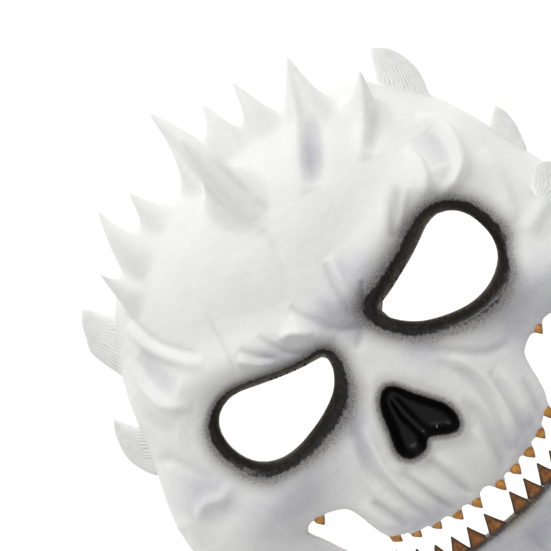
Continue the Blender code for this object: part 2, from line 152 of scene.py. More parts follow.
# Strokes of the sculptor's tool: (name, half width, height, sharpness, points), in
# millimetres from the bridge of the nose. A sharpness of 1 gives a crease, of 0 a round
# ridge or groove. The far and unseen sides repeat the seen ones' kinds.
STROKES = [
    ("crown_crease", 1.3, -0.8, 1, [(1.5, 59), (0.6, 51), (-2.6, 40), (-5.7, 31)]),
    ("crown_swell", 8.0, 0.5, 0, [(-9, 58), (-11, 44), (-14, 33)]),
    ("frown_long", 1.2, -2.4, 1, [(12.0, 31.7), (8.9, 23.7), (7.5, 15.9), (5.6, 8.0)]),
    ("frown_long_roll", 2.6, 1.6, 0, [(15.6, 33), (12.6, 24), (10.8, 16), (8.4, 9)]),
    ("frown_inner", 0.9, -2.6, 1, [(19.0, 17.5), (15.2, 12.5), (10.5, 6.0)]),
    ("frown_fold", 1.4, -2.7, 1,
     [(-9.6, 28.3), (-8.3, 22.7), (-5.4, 17.1), (-3.0, 11.1), (1.7, 6.0), (7.2, 3.8)]),
    ("frown_fold_roll", 3.0, 1.9, 0, [(-13.5, 25), (-11.5, 19), (-8.0, 13), (-4.5, 7)]),
    ("frown_bump", 1.9, 2.7, 0, [(-21.5, 21.6), (-15.4, 19.8), (-10.2, 13.6)]),
    ("frown_under", 1.3, -2.1, 1, [(-27, 28), (-25.2, 21.2), (-21, 13.7), (-13.3, 8.6)]),
    ("brow_fold", 1.8, 2.4, 0, [(-39, 26.6), (-35.6, 20.4), (-29.3, 14.6)]),
    ("brow_groove", 1.3, -1.9, 1, [(-36.5, 28.6), (-32.8, 22.4), (-27.2, 15.6)]),
    ("thin_crease", 0.7, -1.1, 1, [(-38.4, 49), (-39.9, 38.8), (-41.7, 29.2), (-45, 20.5)]),
    ("bridge_crease", 1.6, -2.2, 1, [(7.0, 4.0), (3.0, 0.5), (-1.5, -3.0)]),
    ("horn_roll_left", 3.0, 2.2, 0, [(-1.0, 110), (0.4, 96), (1.0, 82), (1.6, 57)]),
    ("horn_right_groove", 2.2, -1.3, 0, [(4.8, 100), (6.4, 84), (7.4, 68)]),
    ("horn_left_groove", 2.0, -1.2, 0, [(-3.0, 104), (-4.6, 97), (-3.8, 83), (-2.6, 69)]),
    ("crown_roll_right", 3.4, 2.2, 0, [(50.4, 101), (45, 93), (41, 84), (31, 70), (24, 58)]),
    ("crown_gap_right", 3.4, -2.6, 0, [(46, 83), (40.5, 73), (35.8, 66), (29, 58)]),
    ("far_roll_right", 2.8, 1.9, 0, [(71, 78), (63.5, 68), (56, 60), (49.5, 52.5)]),
    ("far_gap_right", 2.8, -1.5, 0, [(68.5, 68), (62, 60), (54.5, 52)]),
    ("temple_groove", 1.7, -1.5, 0, [(-66, 70), (-62.6, 54), (-55.4, 43.4), (-49.5, 36)]),
    ("temple_roll", 3.0, 2.2, 0, [(-69, 66), (-66, 54), (-59.4, 43), (-51, 33.5)]),
    ("temple_bowl", 5.0, -1.6, 0, [(-72, 54), (-71.5, 42), (-66, 33)]),
    ("temple_low_roll", 2.6, 1.9, 0, [(-79, 56), (-78.8, 42), (-75.6, 31), (-67, 24)]),
    ("temple_foot", 4.0, -1.0, 0, [(-86, 42), (-84, 28), (-79, 20)]),
    ("cheek_step", 2.6, -1.1, 0, [(-100, 16), (-91, 13.6), (-87, 7), (-80, -5)]),
    ("cheek_roll", 2.4, 1.7, 0, [(-99, -12.4), (-90, -9.8), (-82.4, -12.2), (-76.6, -9)]),
    ("cheek_drop", 4.0, -0.6, 0, [(-98, -18), (-88, -18), (-78, -20)]),
    ("cheek_spur", 3.4, 1.0, 0, [(-112, -11), (-104.5, -13), (-107, -22)]),
    ("flute_1", 2.0, -2.2, 0,
     [(-21, -20), (-24.6, -30), (-28.5, -42), (-28.3, -52), (-26.6, -62), (-23.5, -72)]),
    ("flute_1_roll", 2.3, 2.2, 0,
     [(-19, -27), (-22.6, -38), (-24.4, -50), (-22.6, -60), (-19.6, -72)]),
    ("flute_1_out", 2.4, 1.8, 0, [(-27, -27), (-32, -39), (-33, -50), (-31, -63)]),
    ("flute_2", 1.7, -2.0, 0, [(-21.9, -50), (-19.5, -57.4), (-17.0, -68), (-14.6, -75)]),
    ("flute_2_roll", 1.9, 1.8, 0, [(-17, -52), (-15.4, -60), (-12.8, -70), (-11, -76)]),
    ("flute_3", 1.5, -1.7, 0, [(-9.6, -53), (-7.8, -61), (-6.6, -70), (-5.2, -76)]),
    ("flute_3_roll", 1.7, 1.4, 0, [(-5.6, -54), (-4.0, -63), (-2.6, -75)]),
    ("flute_side", 2.0, -2.0, 0, [(-37, -52), (-35.6, -60), (-33.0, -70)]),
    ("flute_side_roll", 2.1, 1.7, 0, [(-41, -50), (-39.6, -60), (-37.5, -67)]),
    ("flute_4", 2.1, -2.2, 0,
     [(20, -27), (24.2, -38), (25.4, -48), (23.7, -57), (20.1, -66), (17.4, -75)]),
    ("flute_4_roll", 2.2, 2.4, 0,
     [(25, -28), (28.6, -38), (29.3, -48), (27.0, -58), (23.6, -68), (21.5, -74)]),
    ("flute_5", 1.9, -1.8, 0, [(32, -43), (31.8, -52), (30.4, -61), (27.2, -72)]),
    ("flute_5_roll", 2.0, 1.8, 0, [(36, -45), (35.4, -55), (33.0, -65), (31, -72)]),
    ("flute_6", 1.7, -1.7, 0, [(40.6, -54), (38.6, -62), (35.6, -71)]),
    ("flute_7", 2.3, -2.0, 0, [(16.6, -44), (18.4, -55), (15.0, -67), (10.0, -77)]),
    ("flute_7_roll", 2.0, 1.5, 0, [(12.0, -56), (11.4, -64), (6.5, -77)]),
    ("temple_arc", 2.3, 2.6, 0,
     [(76, 51), (80.4, 46), (82.0, 39), (80.6, 31), (77, 25), (70, 21.5), (64, 22.5)]),
    ("temple_arc_bowl", 5.0, -1.3, 0, [(75.5, 45), (75.0, 37), (71.5, 30)]),
    ("temple_arc_in", 2.3, 2.0, 0, [(65.5, 45), (66.0, 37), (63.6, 30), (60, 25)]),
    ("temple_arc_gap", 2.4, -0.6, 0, [(70.5, 46), (68.6, 36), (64.8, 27)]),
    ("brow_roll", 2.4, 1.8, 0, [(56.5, 33.5), (51, 30), (46, 25.5), (42, 21)]),
    ("brow_gap", 1.9, -1.5, 0, [(50.6, 34.6), (43.6, 26), (38.2, 20.6)]),
    ("temple_far_roll", 3.0, 1.6, 0, [(88, 24), (85.6, 13), (82.4, 3), (79, -6)]),
    ("cheek_right_roll", 3.2, 1.5, 0, [(97, -8.6), (87, -10.2), (79.4, -12.6)]),
    ("cheek_right_drop", 4.0, -0.6, 0, [(95, -18), (86, -19), (78, -20)]),
    ("under_eye", 1.8, -1.5, 0, [(17, -16.5), (26.5, -28), (36, -37), (46, -41)]),
    ("jaw_line_left", 3.2, -1.4, 0, [(-62, -78), (-48, -98), (-30, -112)]),
    ("jaw_line_right", 3.2, -1.4, 0, [(62, -78), (48, -98), (30, -112)]),
    ("chin_cleft", 2.4, -1.2, 0, [(0.5, -104), (0, -116), (0, -126)]),
]


# Strokes fade in and out at their ends, and none is deeper than the wall bears
STROKE_STEPS = 5
STROKE_STRENGTH = 1.3
STROKE_FULL = 4.5
STROKE_ENDS = 0.7
DEEPEST_STROKE = 1.9 * MM

# Horns: (name, base x, base y, tip x, tip y, tip rise, half width of the base, reach of the
# foot toward the face). x and the half width are shares of CRANIUM_HALF_WIDTH, y and the
# rise of CROWN_HEIGHT, and the foot's reach of the half width.
HORNS = [
    ("side_left", -0.616, 0.745, -0.658, 0.890, 0.02, 0.067, 1.6),
    ("back_left", -0.484, 0.840, -0.490, 1.090, -0.03, 0.097, 1.5),
    ("crown_left", -0.316, 0.900, -0.332, 1.062, 0.00, 0.072, 1.5),
    ("crown_middle", -0.011, 0.925, -0.042, 1.232, -0.06, 0.103, 1.5),
    ("front_middle", 0.016, 0.780, 0.016, 1.050, 0.12, 0.097, 2.4),
    ("crown_extra", 0.142, 0.920, 0.158, 1.132, -0.04, 0.072, 1.4),
    ("crown_right", 0.295, 0.900, 0.316, 1.118, -0.02, 0.072, 1.5),
    ("back_right", 0.484, 0.840, 0.563, 1.042, -0.02, 0.084, 2.2),
    ("side_right", 0.679, 0.690, 0.758, 0.802, 0.02, 0.078, 2.0),
]

# A horn leans out by a share of its length. Its foot spreads to the sides and the back by
# shares of its half width, its flanks are hollow and its point is rounded.
HORN_LEAN = 0.40
HORN_FOOT = 1.65
HORN_BACK = 1.5
HORN_CONCAVITY = 1.8
HORN_BLUNTNESS = 0.09
HORN_POINT = 0.001

# Eye holes: (x, y, width of the black band), in millimetres from the bridge of the nose
EYE_LEFT = [
    (-13.4, 4.2, 3.8), (-12.9, 1.4, 4.4), (-14.4, -2.6, 4.8), (-18.2, -7.2, 6.4),
    (-23.0, -10.4, 7.0), (-30.6, -13.4, 6.6), (-38.4, -15.2, 6.2), (-45.0, -16.1, 5.6),
    (-52.2, -15.7, 5.0), (-58.6, -13.2, 5.6), (-63.4, -9.0, 5.2), (-66.2, -3.2, 4.6),
    (-67.0, 3.0, 4.8), (-65.6, 9.4, 4.2), (-61.6, 14.0, 3.2), (-55.6, 16.2, 2.9),
    (-49.2, 15.8, 2.9), (-41.0, 12.8, 3.0), (-31.4, 9.2, 3.0), (-22.6, 6.6, 3.0),
    (-16.8, 5.4, 3.2),
]
EYE_RIGHT = [
    (16.6, 4.4, 6.8), (15.9, 1.2, 5.4), (17.4, -3.0, 5.0), (21.4, -7.8, 5.2),
    (26.0, -11.6, 5.4), (33.2, -15.2, 5.6), (41.0, -17.8, 5.8), (47.6, -18.6, 6.2),
    (54.4, -17.8, 6.6), (60.6, -15.2, 6.0), (65.2, -11.2, 4.0), (67.8, -5.4, 5.2),
    (68.2, 0.8, 4.8), (67.0, 7.8, 4.6), (63.6, 13.4, 4.6), (58.0, 16.8, 4.8),
    (52.0, 16.4, 5.4), (46.4, 14.0, 6.2), (39.6, 11.2, 5.8), (31.6, 8.6, 6.0),
    (24.0, 6.4, 6.2), (19.4, 5.4, 6.4),
]
NOSE = [
    (-3.4, -21.0), (-8.2, -24.2), (-11.0, -29.4), (-13.5, -36.1), (-16.0, -42.2),
    (-15.9, -46.2), (-13.4, -49.2), (-9.6, -50.2), (-6.4, -49.4), (-3.4, -47.2),
    (0.3, -48.8), (4.0, -51.4), (7.6, -52.4), (10.4, -50.2), (11.4, -45.6), (10.4, -41.0),
    (7.6, -36.0), (3.7, -29.3), (0.4, -23.3),
]

# The mouth's edge in millimetres from the bridge of the nose, from its left corner along
# the upper gum to the right corner and back along the jaw. A name stands for the tooth
# there, where the gum runs out in a small flange.
MOUTH = [
    (-66.5, -45.2), (-64.3, -43.3), (-61.6, -42.9), "corner_left_1", (-55.8, -43.8),
    (-51.4, -45.4), (-48.2, -47.2), (-46.5, -49.4), (-45.2, -53.5), (-44.4, -58.6),
    (-43.5, -63.4), (-42.4, -66.6), "upper_left_5", (-36.9, -70.5), (-35.1, -71.1),
    "upper_left_4", (-29.8, -73.7), (-27.4, -74.4), "upper_left_3", (-21.2, -75.9),
    (-18.9, -76.6), "upper_left_2", (-12.4, -77.5), (-9.8, -78.2), "upper_left_1",
    (-3.4, -78.3), (-0.8, -77.4), (1.5, -78.2), "upper_right_1", (8.6, -79.4),
    (10.7, -79.1), "upper_right_2", (17.0, -78.4), (19.2, -77.7), "upper_right_3",
    (25.6, -76.4), (27.9, -75.8), "upper_right_4", (33.6, -73.4), (35.4, -72.2),
    "upper_right_5", (41.2, -68.4), (43.2, -64.2), (44.5, -59.0), (45.3, -53.8),
    (46.9, -48.1), (50.0, -45.4), (54.0, -43.8), "corner_right_1", (61.4, -42.7),
    (65.6, -42.9), (67.8, -45.2), (66.6, -49.5), (64.6, -54.5), (62.0, -60.5),
    (58.4, -67.5), (52.0, -76.8), (45.2, -83.0), (37.6, -87.4), (30.6, -90.4),
    (24.9, -92.0), (16.9, -93.0), (9.0, -93.3), (1.6, -94.0), (-3.5, -94.0),
    (-12.7, -93.4), (-21.9, -93.0), (-29.4, -90.9), (-37.6, -87.2), (-45.0, -82.4),
    (-51.4, -76.2), (-57.0, -67.4), (-60.5, -60.0), (-62.4, -55.2), (-64.1, -51.0),
    (-65.8, -47.8),
]
OUTLINE_STEPS = 8
FLANGE_HALF = 1.9
FLANGE_LENGTH = 0.5
FLANGE_ROUND = 0.12

# Teeth: (node, gum x, gum y, tip x, tip y), in millimetres from the bridge of the nose
UPPER_TEETH = [
    ("corner_left_1", -58.7, -42.6, -58.9, -47.0),
    ("upper_left_5", -40.6, -67.6, -39.2, -72.3),
    ("upper_left_4", -33.0, -71.3, -32.2, -76.1),
    ("upper_left_3", -24.6, -74.2, -24.0, -78.9),
    ("upper_left_2", -15.6, -76.8, -15.1, -81.7),
    ("upper_left_1", -6.8, -78.2, -6.3, -83.3),
    ("upper_right_1", 5.2, -79.0, 5.6, -84.2),
    ("upper_right_2", 13.8, -78.4, 14.3, -83.2),
    ("upper_right_3", 22.3, -76.9, 22.9, -81.8),
    ("upper_right_4", 30.8, -73.9, 30.9, -78.7),
    ("upper_right_5", 38.7, -69.2, 38.0, -74.2),
    ("corner_right_1", 57.7, -42.4, 57.6, -46.8),
]
LOWER_TEETH = [
    ("lower_left_1", -8.0, -94.2, -8.2, -86.2),
    ("lower_left_2", -17.3, -93.9, -16.9, -85.8),
    ("lower_left_3", -25.6, -92.5, -24.3, -84.6),
    ("lower_left_4", -33.4, -89.8, -31.6, -83.0),
    ("lower_left_5", -41.2, -85.7, -38.4, -79.4),
    ("lower_left_6", -48.3, -80.2, -45.0, -74.6),
    ("lower_right_1", 5.3, -94.2, 5.4, -86.1),
    ("lower_right_2", 13.0, -93.7, 13.2, -85.8),
    ("lower_right_3", 20.9, -93.0, 21.3, -84.9),
    ("lower_right_4", 27.8, -91.8, 28.3, -84.4),
    ("lower_right_5", 38.4, -87.4, 36.4, -80.8),
    ("lower_right_6", 46.6, -82.2, 43.8, -76.2),
]

# A tooth's half width along its length, from the gum at 0 to the tip at 1, in widths
UPPER_PROFILE = [
    (-0.30, 0.10), (0.00, 0.32), (0.20, 0.44), (0.36, 0.47), (0.58, 0.36), (0.80, 0.20),
    (0.95, 0.09), (1.00, 0.03),
]
LOWER_PROFILE = [
    (-0.06, 0.49), (0.00, 0.50), (0.30, 0.35), (0.60, 0.205), (0.85, 0.095), (0.96, 0.05),
    (1.00, 0.02),
]

# A tooth's mesh, how it curls and flattens, and how much the teeth's widths differ
TOOTH_RINGS = 18
UPPER_SIDES = 20
LOWER_SIDES = 24
TOOTH_CURL = 0.10
TOOTH_FLATNESS = 1.15
TOOTH_VARIETY = (0.94, 1.06)
UPPER_SEED = 3
LOWER_SEED = 5

# Fins: (name, side, height on the wall, place of the tip in the row, outline of the right
# one). The height is a share of DEPTH. The outline runs from the root's top round the free
# edge to the root's foot, as distances out from the wall in shares of FIN_REACH and places
# up the wall in shares of CROWN_HEIGHT.
FIN_REACH = 10 * MM
FINS = [
    ("upper", "left", 0.430, 4, [
        (-0.25, 0.728), (0.17, 0.744), (0.85, 0.780), (1.52, 0.819), (2.16, 0.844),
        (1.92, 0.795), (1.62, 0.748), (1.37, 0.694), (1.02, 0.650), (0.56, 0.596),
        (0.13, 0.545), (-0.25, 0.490),
    ]),
    ("upper", "right", 0.430, 4, [
        (-0.25, 0.712), (0.21, 0.745), (0.81, 0.780), (1.71, 0.830), (2.42, 0.862),
        (2.18, 0.810), (1.74, 0.748), (1.18, 0.676), (0.62, 0.613), (0.12, 0.558),
        (-0.25, 0.500),
    ]),
    ("middle", "left", 0.430, 4, [
        (-0.30, 0.302), (0.02, 0.319), (0.27, 0.334), (0.60, 0.372), (0.98, 0.412),
        (1.13, 0.375), (1.20, 0.318), (1.17, 0.265), (1.04, 0.220), (0.80, 0.175),
        (0.45, 0.125), (-0.30, 0.060),
    ]),
    ("middle", "right", 0.430, 3, [
        (-0.30, 0.275), (0.09, 0.295), (0.51, 0.319), (0.92, 0.338), (0.95, 0.298),
        (0.85, 0.255), (0.64, 0.205), (0.36, 0.157), (0.12, 0.118), (-0.30, 0.080),
    ]),
    ("lower", "right", 0.690, 2, [
        (-0.25, -0.020), (0.45, 0.025), (0.95, 0.055), (1.35, 0.020), (1.55, -0.070),
        (1.45, -0.170), (1.00, -0.220), (-0.25, -0.190),
    ]),
]

# A fin's mesh, and its section: a swollen root, and the powers that round its belly and
# taper it to the tip. The grooves fade in from the root and out toward the tip.
FIN_ACROSS = 96
FIN_ALONG = 44
FIN_ROOT_SWELL = 0.9
FIN_ROOT = 0.09
FIN_BELLY = (3.2, 0.55)
FIN_TAPER = (2.4, 0.6)
GROOVE_ENDS = (7, 5)
FIN_WELD = 0.02 * MM

# Soft grey and lavender airbrush, partly painted shade: greyer in the hollows and over the lower
# face. (name, x, y, reach x, reach y, turn in degrees, strength), in millimetres from the
# bridge of the nose
SHADES = [
    ("between_brows", 3, 12, 9, 10, 20, 0.85),
    ("left_brow", -22, 14, 14, 5, -25, 0.60),
    ("right_brow", 20, 20, 7, 10, 30, 0.55),
    ("crown_gap", 35, 67, 8, 4, 52, 0.55),
    ("temple_left", -72, 44, 8, 12, 10, 0.18),
    ("temple_right", 76, 40, 6, 10, 0, 0.18),
    ("cheek_left", -60, -30, 24, 14, 0, 0.45),
    ("cheek_left_side", -88, -6, 14, 10, 0, 0.40),
    ("cheek_right", 58, -34, 22, 14, 0, 0.60),
    ("nose_side_left", -22, -20, 6, 14, -10, 0.60),
    ("nose_side_right", 18, -20, 6, 10, 20, 0.45),
    ("gum_left", -24, -72, 16, 6, -18, 0.45),
    ("gum_right", 26, -72, 14, 6, 18, 0.50),
    ("jaw", 0, -104, 60, 18, 0, 0.75),
    ("jaw_left", -66, -74, 16, 26, 0, 0.55),
    ("jaw_right", 66, -74, 16, 26, 0, 0.55),
]

# Where no band or black of the nose reaches, in band widths and in millimetres
FAR_FROM_PAINT = 9.0

# Black and brown dust from the spray, and a yellow stain at the gum: (name, half width,
# strength, points), in millimetres from the bridge of the nose
SOOT = [
    ("right_brow", 3.0, 0.42, [(52, 34), (45, 27), (40, 22)]),
    ("left_brow_end", 3.2, 0.30, [(-66, 18), (-58, 21), (-48, 19)]),
    ("under_left_eye", 5.2, 0.50, [(-70, -6), (-62, -19), (-46, -23), (-30, -21), (-16, -12)]),
    ("under_right_eye", 5.0, 0.42, [(20, -14), (32, -23), (48, -27), (62, -22)]),
    ("bridge_left", 3.2, 0.38, [(-12, 9), (-8, 3), (-9, -6), (-13, -14)]),
    ("bridge_right", 3.0, 0.38, [(13, 10), (11, 2), (13, -8)]),
    ("nose_foot", 3.4, 0.40, [(-17, -50), (-10, -54), (-3, -51), (8, -56), (14, -49)]),
    ("nose_sides", 2.6, 0.30, [(-15, -36), (-9, -23), (-2, -18), (6, -26), (13, -40)]),
    ("crown_spot", 1.6, 0.16, [(8, 68), (9, 65)]),
    ("jaw_edge", 2.1, 0.95, [(-60, -73), (-46, -86), (-24, -93.6), (0, -95.4), (24, -93.6),
                             (46, -86), (60, -73)]),
]
STAIN = [("gum_stain", 3.2, 1.0, [(-2, -95), (5, -94.5), (10, -94)])]


def linear(hex_colour):
    """A colour written as sRGB hex, as the linear numbers that a shader takes."""
    parts = [int(hex_colour[start:start + 2], 16) / 255 for start in (1, 3, 5)]
    return tuple(
        part / 12.92 if part <= 0.04045 else ((part + 0.055) / 1.055) ** 2.4
        for part in parts
    )


def outline_radius(angle):
    """Distance from the axis to the girth's outline at an angle round it."""
    across = np.abs(np.cos(angle)) / CRANIUM_HALF_WIDTH
    along_size = np.where(np.sin(angle) > 0, CROWN_HEIGHT - CENTRE_Y, CHIN_DROP + CENTRE_Y)
    along = np.abs(np.sin(angle)) / along_size
    radius = (across ** OUTLINE_POWER + along ** OUTLINE_POWER) ** (-1 / OUTLINE_POWER)
    y = CENTRE_Y + radius * np.sin(angle)
    flare = np.exp(-(((y - CHEEK_FLARE_Y) / CHEEK_FLARE_REACH) ** 2))
    swell = np.exp(-(((y - LEFT_CHEEK_Y) / LEFT_CHEEK_REACH) ** 2))
    swell = swell * np.maximum(0, -np.cos(angle))
    return radius + CHEEK_FLARE * flare * np.abs(np.cos(angle)) + LEFT_CHEEK * swell


def head_points(angle, reach):
    """The plain head form: reach runs from 0 at the middle of the face to 1 at the rim."""
    dome = np.sin(np.minimum(1.0, reach / DOME_REACH) * math.pi / 2)
    lift = np.sqrt(np.maximum(0.0, 1 - dome ** DOME_POWER))
    side = np.clip((reach - DOME_REACH) / (SIDE_REACH - DOME_REACH), 0.0, 1.0)
    skirt = np.clip((reach - SIDE_REACH) / (1 - SIDE_REACH), 0.0, 1.0)
    share = dome - RIM_TUCK * side * side
    height = (GIRTH_HEIGHT + (DEPTH - GIRTH_HEIGHT) * lift
              + (SKIRT_HEIGHT - GIRTH_HEIGHT) * side - SKIRT_HEIGHT * skirt)
    radius = outline_radius(angle) * share
    x, y = radius * np.cos(angle), CENTRE_Y + radius * np.sin(angle)
    return np.stack((x, y, height), axis=-1)


def head_normals(angle, reach):
    near = np.clip(reach, NORMAL_STEP * 2, 1 - NORMAL_STEP)
    along = head_points(angle, near + NORMAL_STEP) - head_points(angle, near - NORMAL_STEP)
    turn = head_points(angle + NORMAL_STEP, near) - head_points(angle - NORMAL_STEP, near)
    normals = np.cross(along, turn)
    return normals / np.linalg.norm(normals, axis=-1, keepdims=True)


def place_of(x, y):
    """The angle and reach at which the dome stands over the point x, y."""
    angle = math.atan2(y - CENTRE_Y, x)
    radius = float(outline_radius(np.array(angle)))
    share = min(OUTERMOST_SHARE, math.hypot(x, y - CENTRE_Y) / radius)
    return np.array(angle), np.array(math.asin(share) / (math.pi / 2) * DOME_REACH)


def wall_x(y, height):
    """How far out the head form stands at y, on the level at a height above the girth."""
    lift = (height - GIRTH_HEIGHT) / (DEPTH - GIRTH_HEIGHT)
    share = (1 - lift * lift) ** (1 / DOME_POWER)
    angles = np.linspace(-math.pi / 2, math.pi / 2, WALL_SAMPLES)
    radii = outline_radius(angles) * share
    return float(np.interp(y, CENTRE_Y + radii * np.sin(angles), radii * np.cos(angles)))


def blob(x, y, centre_x, centre_y, reach_x, reach_y, turn):
    cos_turn, sin_turn = math.cos(math.radians(turn)), math.sin(math.radians(turn))
    dx, dy = x - centre_x, y - centre_y
    along = (dx * cos_turn + dy * sin_turn) / reach_x
    across = (dy * cos_turn - dx * sin_turn) / reach_y
    return np.exp(-(along * along + across * across))


def relief(x, y):
    """Height of the broad relief at places on the plain head form."""
    total = np.zeros_like(x)
    for name, centre_x, centre_y, reach_x, reach_y, turn, height in RELIEF:
        total += height * blob(
            np.abs(x) / CRANIUM_HALF_WIDTH, y / CROWN_HEIGHT,
            centre_x, centre_y, reach_x, reach_y, turn,
        )
    return total * settings_of("skin").wall


def path_distance(x, y, points):
    """Distance of each place from a path, and how far along the path the nearest point is."""
    best = np.full(x.shape, np.inf)
    part = np.zeros_like(x)
    for index, (start, end) in enumerate(zip(points, points[1:])):
        step_x, step_y = end[0] - start[0], end[1] - start[1]
        size = step_x * step_x + step_y * step_y
        share = np.clip(((x - start[0]) * step_x + (y - start[1]) * step_y) / size, 0, 1)
        away = np.hypot(x - start[0] - share * step_x, y - start[1] - share * step_y)
        near = away < best
        best = np.where(near, away, best)
        part = np.where(near, index + share, part)
    return best, part / (len(points) - 1)


def smooth_path(knots, steps, closed):
    """Close points along a smooth curve through the knots."""
    knots = [np.array(knot, float) for knot in knots]
    if closed:
        knots = [knots[-1]] + knots + knots[:2]
    else:
        knots = [2 * knots[0] - knots[1]] + knots + [2 * knots[-1] - knots[-2]]
    points = []
    for p, q, r, s in zip(knots, knots[1:], knots[2:], knots[3:]):
        for step in range(steps):
            t = step / steps
            points.append(0.5 * (
                2 * q + (r - p) * t + (2 * p - 5 * q + 4 * r - s) * t * t
                + (3 * q - p - 3 * r + s) * t ** 3
            ))
    if not closed:
        points.append(knots[-2])
    return np.array(points)


def closed_loop(points):
    """The points with the first one again at the end."""
    return np.vstack((points, points[:1]))


def strokes_height(x, y):
    """Height of all the tool's strokes at places on the face."""
    total = np.zeros_like(x)
    for name, half_width, height, sharpness, points in STROKES:
        path = smooth_path(points, STROKE_STEPS, False) * MM
        away, part = path_distance(x, y, path)
        away = away / (half_width * MM)
        profile = np.exp(-away) if sharpness else np.exp(-away * away)
        ends = np.minimum(1.0, STROKE_FULL * part * (1 - part)) ** STROKE_ENDS
        total += STROKE_STRENGTH * height * MM * profile * ends
    return np.where(total < 0, DEEPEST_STROKE * np.tanh(total / DEEPEST_STROKE), total)


def horn_rise(points, row):
    """How far one horn moves each point of the skin."""
    name, base_x, base_y, tip_x, tip_y, rise, half_width, front = row
    angle, reach = place_of(base_x * CRANIUM_HALF_WIDTH, base_y * CROWN_HEIGHT)
    base, normal = head_points(angle, reach), head_normals(angle, reach)
    tip = np.array((
        tip_x * CRANIUM_HALF_WIDTH, tip_y * CROWN_HEIGHT, base[2] + rise * CROWN_HEIGHT
    ))
    way = tip - base
    ahead = way - normal * way.dot(normal)
    ahead /= np.linalg.norm(ahead)
    beside = np.cross(normal, ahead)
    radius = half_width * CRANIUM_HALF_WIDTH
    offset = points - base
    along, across = offset @ ahead, offset @ beside
    length = np.where(along < 0, radius * front, radius * HORN_BACK)
    away = np.hypot(along / length, across / (radius * HORN_FOOT))
    away = np.where(np.abs(offset @ normal) < radius * 2, away, 1.0)
    rounded = np.hypot(away, HORN_BLUNTNESS) - HORN_BLUNTNESS
    rounded /= math.hypot(1, HORN_BLUNTNESS) - HORN_BLUNTNESS
    share = np.maximum(0.0, 1 - rounded) ** HORN_CONCAVITY
    at_point = away < away.min() + HORN_POINT
    share = np.where(at_point, np.where(share > 0, 1.0, 0.0), share)
    lean = normal * np.linalg.norm(way) * HORN_LEAN
    return (2 * share * (1 - share))[:, None] * lean + (share * share)[:, None] * way


def nose_recess(x, y):
    """Depth of the nose's hollow, and the distance inside its outline."""
    outline = closed_loop(smooth_path(NOSE, NOSE_STEPS, True) * MM)
    away, _ = path_distance(x, y, outline)
    inward = np.where(inside(x, y, outline), away, -away)
    share = np.clip(inward / NOSE_SLOPE, 0, 1)
    depth = NOSE_DEPTH * (1 - (1 - share) ** NOSE_STEEPNESS)
    ridge, _ = path_distance(x, y, np.array(SEPTUM) * MM)
    depth -= SEPTUM_HEIGHT * np.exp(-(ridge / SEPTUM_WIDTH) ** 2) * share
    return depth, inward


def inside(x, y, loop):
    """Whether each place lies within a closed outline."""
    crossings = np.zeros(x.shape, bool)
    for (x0, y0), (x1, y1) in zip(loop, loop[1:]):
        if y0 == y1:
            continue
        spans = (y0 > y) != (y1 > y)
        crossings ^= spans & (x < (x1 - x0) * (y - y0) / (y1 - y0) + x0)
    return crossings


def tooth_frame(row):
    """The middle of a tooth's root at the gum, its heading and its length."""
    gum, tip = np.array(row[1:3]) * MM, np.array(row[3:5]) * MM
    reach = np.linalg.norm(tip - gum)
    return gum, (tip - gum) / reach, reach


def mouth_loop():
    """The mouth's edge: the gum runs out in a small flange behind each upper tooth."""
    teeth = {row[0]: tooth_frame(row) for row in UPPER_TEETH}
    knots = []
    for knot in MOUTH:
        if isinstance(knot, str):
            gum, heading, reach = teeth[knot]
            beside = np.array((-heading[1], heading[0])) * FLANGE_HALF * MM
            if knots and beside.dot(knots[-1] - gum) < 0:
                beside = -beside
            middle = gum + heading * reach * FLANGE_LENGTH
            end = middle + heading * reach * FLANGE_ROUND
            knots += [middle + beside, end, middle - beside]
        else:
            knots.append(np.array(knot) * MM)
    return closed_loop(smooth_path(knots, OUTLINE_STEPS, True))


def grid_places(cells, fine_areas):
    """A square sheet of places, denser in the middle and twice as dense in fine areas."""
    bm = bmesh.new()
    bmesh.ops.create_grid(bm, x_segments=cells, y_segments=cells, size=1.0)
    for vert in bm.verts:
        for axis in (0, 1):
            place = vert.co[axis]
            vert.co[axis] = place * (CENTRE_DENSITY + (1 - CENTRE_DENSITY) * place * place)
    for wanted in fine_areas:
        bm.faces.ensure_lookup_table()
        centres = np.array([face.calc_center_median() for face in bm.faces])
        plain, normals = plain_skin(centres[:, 0], centres[:, 1])
        chosen = np.flatnonzero(wanted(plain[:, 0], plain[:, 1], plain[:, 2]))
        edges = dict.fromkeys(edge for index in chosen for edge in bm.faces[index].edges)
        bmesh.ops.subdivide_edges(bm, edges=list(edges), cuts=1, use_grid_fill=True)
    return bm


def plain_skin(across, along):
    """The head form's points and normals, from places on the square sheet."""
    disc_x = across * np.sqrt(1 - along * along / 2)
    disc_y = along * np.sqrt(1 - across * across / 2)
    reach = np.minimum(1.0, np.hypot(disc_x, disc_y))
    angle = np.arctan2(disc_y, disc_x)
    plain = head_points(angle, reach)
    normals = head_normals(angle, reach)
    fade = np.clip((DOME_REACH - reach) / (DOME_REACH * RELIEF_FADE), 0, 1)
    fade = fade * fade * (3 - 2 * fade)
    return plain + normals * (relief(plain[:, 0], plain[:, 1]) * fade)[:, None], normals


def near_detail(x, y, z):
    """Where the skin needs a finer mesh: the face below the brow, and the worked strokes."""
    face = (np.abs(x) < FACE_HALF_WIDTH) & (y > FACE_SPAN[0]) & (y < FACE_SPAN[1])
    for name, half_width, height, sharpness, points in STROKES:
        if points[0][1] > 0 or abs(points[0][0]) * MM > FACE_HALF_WIDTH:
            away, _ = path_distance(x, y, np.array(points) * MM)
            face |= away < max(STROKE_NEAR_LEAST, half_width * STROKE_NEAR) * MM
    return face & (z > GIRTH_HEIGHT)


